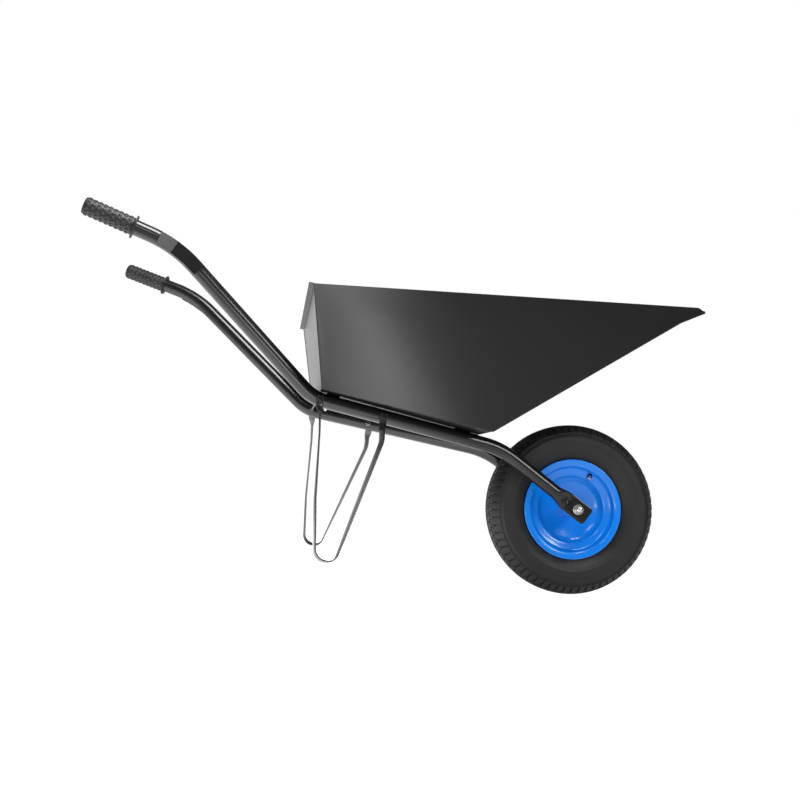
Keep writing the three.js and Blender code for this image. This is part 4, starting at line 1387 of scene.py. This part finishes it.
class WHEELBARROW_OT_materials(bpy.types.Operator):
    """Makes the paints, rubbers and metals"""

    bl_idname = "wheelbarrow.materials"
    bl_label = "Materials"

    def execute(self, context):
        looks = context.scene.wheelbarrow_looks
        groups = {"peel": orange_peel_group(), "dust": dust_group(), "rubber": rubber_group()}
        zinc = zinc_group()
        paint_material("Frame paint", tuple(looks.frame_colour), groups,
                       {"Roughness": 0.24, "Scale": 300, "Wave Scale": 30},
                       relief=(0.02, 0.0001), dust_amount=0.015, values={"IOR": 1.5})
        # Same black paint as the frame, lightened in its base colour as painted sheen on the legs.
        paint_material("Leg paint", LEG_PAINT_WITH_SHEEN, groups,
                       {"Roughness": 0.27, "Scale": 420, "Wave Scale": 40},
                       relief=(0.12, 0.0004), dust_amount=0.04,
                       values={"IOR": 1.55, "Coat Weight": 0.6, "Coat Roughness": 0.3})
        paint_material("Tray paint", tuple(looks.tray_colour), groups,
                       {"Roughness": 0.2, "Scale": 300, "Wave Scale": 7},
                       relief=(0.1, 0.0009), dust_amount=0.012, values={"IOR": 1.38})
        paint_material("Rim paint", tuple(looks.rim_colour), groups,
                       {"Roughness": 0.22, "Scale": 380, "Wave Scale": 30},
                       relief=(0.08, 0.0004), dust_amount=0.0,
                       values={"IOR": 1.42, "Coat Weight": 0.5, "Coat Roughness": 0.04})
        rubber_material("Tyre rubber", (0.0075, 0.0075, 0.008, 1), (0.012, 0.012, 0.0125, 1),
                        groups, {"Roughness": 0.52, "IOR": 1.45})
        rubber_material("Grip rubber", (0.012, 0.012, 0.0125, 1), (0.02, 0.02, 0.021, 1),
                        groups, {"Roughness": 0.5, "IOR": 1.47})
        rubber_material("Tube rubber", (0.02, 0.02, 0.02, 1), (0.03, 0.03, 0.03, 1),
                        groups, {"Roughness": 0.6})
        plated_material("Zinc", zinc, {}, (0.62, 0.63, 0.65, 1), (0.78, 0.79, 0.8, 1))
        plated_material("Bearing steel", zinc, {"Cloud Scale": 200, "Roughness": 0.22},
                        (0.45, 0.45, 0.46, 1), (0.56, 0.56, 0.57, 1))
        kept = {"inner_tube": "Tube rubber", "hub_spacer": "Bearing steel"}
        for side in ("right", "left"):
            for part in ("axle_spacer", "bearing_outer_race", "bearing_inner_race"):
                kept[f"{side}_{part}"] = "Bearing steel"
        for name, material in kept.items():
            painted(frame["nodes"][name].data, material)
        return {"FINISHED"}


# ------------------------------------------------------------------ studio


def camera_matrix():
    """The camera's matrix from its turns: sideways, then up, then about its own view."""
    yaw, pitch, roll = (math.radians(CAMERA[k]) for k in ("yaw", "pitch", "roll"))
    right, down, ahead = Vector((1, 0, 0)), Vector((0, 0, -1)), Vector((0, 1, 0))
    turn = Matrix.Rotation(-yaw, 3, "Z")
    right, down, ahead = turn @ right, turn @ down, turn @ ahead
    turn = Matrix.Rotation(pitch, 3, right)
    down, ahead = turn @ down, turn @ ahead
    turn = Matrix.Rotation(roll, 3, ahead)
    right, down = turn @ right, turn @ down
    rows = Matrix((right, -down, -ahead)).transposed().to_4x4()
    rows.translation = Vector(CAMERA["place"])
    return rows


def soft_box(name, place, aim, size, power):
    """A rectangular area light that points at a place."""
    light = bpy.data.lights.new(name, "AREA")
    light.shape = "RECTANGLE"
    light.size, light.size_y = size
    light.energy = power
    lamp = placed(name, light)
    lamp.location = place
    lamp.visible_camera = False
    lamp.rotation_euler = (Vector(aim) - Vector(place)).to_track_quat("-Z", "Y").to_euler()


def white_room(strength):
    """A white room that reflects as a bright wall behind the barrow and a dim ceiling."""
    world = bpy.data.worlds.new("White room")
    world.use_nodes = True
    tree = world.node_tree
    direction = tree.nodes.new("ShaderNodeSeparateXYZ")
    tree.links.new(tree.nodes.new("ShaderNodeTexCoord").outputs["Generated"],
                   direction.inputs[0])
    ceiling = spread(tree, direction.outputs["Z"], *ROOM["ceiling"])
    wall = spread(tree, direction.outputs["Y"], *ROOM["wall"])
    side = spread(tree, direction.outputs["X"], *ROOM["side"])
    soft = math_node(tree, "MULTIPLY", math_node(tree, "MULTIPLY", ceiling, wall), side)
    seen = tree.nodes.new("ShaderNodeLightPath").outputs["Is Camera Ray"]
    bright = math_node(tree, "MAXIMUM", soft, seen)
    background = tree.nodes["Background"]
    background.inputs["Color"].default_value = (1, 1, 1, 1)
    tree.links.new(math_node(tree, "MULTIPLY", bright, strength), background.inputs["Strength"])
    return world


def light_table(strength):
    """A white floor that glows: softly under the barrow's rear, brightly out to its right."""
    tree, shader = new_material("Studio floor", {
        "Base Color": (0.25, 0.25, 0.25, 1), "Roughness": 0.9, "Emission Strength": 1})
    place = tree.nodes.new("ShaderNodeSeparateXYZ")
    tree.links.new(tree.nodes.new("ShaderNodeTexCoord").outputs["Object"], place.inputs[0])

    def window(axis, rise, fall):
        return math_node(tree, "MULTIPLY", spread(tree, place.outputs[axis], *rise),
                         spread(tree, place.outputs[axis], *reversed(fall)))

    under = math_node(tree, "MULTIPLY", window("Y", *POOLS["under_y"]),
                      window("X", *POOLS["under_x"]))
    right = math_node(tree, "MULTIPLY", window("X", *POOLS["right_x"]),
                      window("Y", *POOLS["right_y"]))
    glow = math_node(tree, "MAXIMUM", math_node(tree, "MULTIPLY", under, POOLS["under_share"]),
                     right)
    total = math_node(tree, "ADD", math_node(tree, "MULTIPLY", glow, strength), POOLS["least"])
    seen = tree.nodes.new("ShaderNodeLightPath").outputs["Is Camera Ray"]
    tree.links.new(math_node(tree, "MAXIMUM", total, seen), shader.inputs["Emission Color"])
    return bpy.data.materials["Studio floor"]


class WHEELBARROW_OT_studio(bpy.types.Operator):
    """Makes the floor, the white room, the soft lights and the camera"""

    bl_idname = "wheelbarrow.studio"
    bl_label = "Studio"

    def execute(self, context):
        studio = context.scene.wheelbarrow_studio
        work = bmesh.new()
        bmesh.ops.create_grid(work, x_segments=1, y_segments=1, size=40)
        ground = placed("studio_floor", finished(work, "studio_floor"))
        ground.data.materials.append(light_table(studio.floor_light))
        context.scene.world = white_room(studio.world_strength)
        context.scene.view_settings.view_transform = "Standard"
        for name, place, aim, size, power in SOFT_BOXES:
            soft_box(name, place, aim, size, power * getattr(studio, f"{name}_power"))
        lens = bpy.data.cameras.new("camera")
        lens.lens, lens.sensor_width = CAMERA["lens"], CAMERA["sensor"]
        camera = placed("camera", lens)
        camera.matrix_world = camera_matrix()
        context.scene.camera = camera
        return {"FINISHED"}


# ------------------------------------------------------------------ add-on


STEPS = ("materials", "rails", "grips", "tray", "legs", "floor_fittings", "tyre", "rim", "axle",
         "studio")


class WHEELBARROW_PT_panel(bpy.types.Panel):
    """Lists the steps that build the wheelbarrow"""

    bl_idname = "WHEELBARROW_PT_panel"
    bl_label = "Garden Wheelbarrow"
    bl_space_type = "VIEW_3D"
    bl_region_type = "UI"
    bl_category = "Wheelbarrow"

    def draw(self, context):
        for settings in (context.scene.wheelbarrow_looks, context.scene.wheelbarrow_studio):
            for name in settings.__annotations__:
                self.layout.prop(settings, name)
        for step in STEPS:
            self.layout.operator(f"wheelbarrow.{step}")


CLASSES = (WheelbarrowLooks, WheelbarrowStudio, WHEELBARROW_OT_materials, WHEELBARROW_OT_rails,
           WHEELBARROW_OT_grips, WHEELBARROW_OT_tray, WHEELBARROW_OT_legs,
           WHEELBARROW_OT_floor_fittings, WHEELBARROW_OT_tyre, WHEELBARROW_OT_rim,
           WHEELBARROW_OT_axle, WHEELBARROW_OT_studio, WHEELBARROW_PT_panel)


def register():
    for cls in CLASSES:
        bpy.utils.register_class(cls)
    bpy.types.Scene.wheelbarrow_looks = PointerProperty(type=WheelbarrowLooks)
    bpy.types.Scene.wheelbarrow_studio = PointerProperty(type=WheelbarrowStudio)


def unregister():
    del bpy.types.Scene.wheelbarrow_studio
    del bpy.types.Scene.wheelbarrow_looks
    for cls in reversed(CLASSES):
        bpy.utils.unregister_class(cls)


def main():
    """Builds everything."""
    register()
    for step in STEPS:
        getattr(bpy.ops.wheelbarrow, step)()


if __name__ == "__main__":
    main()
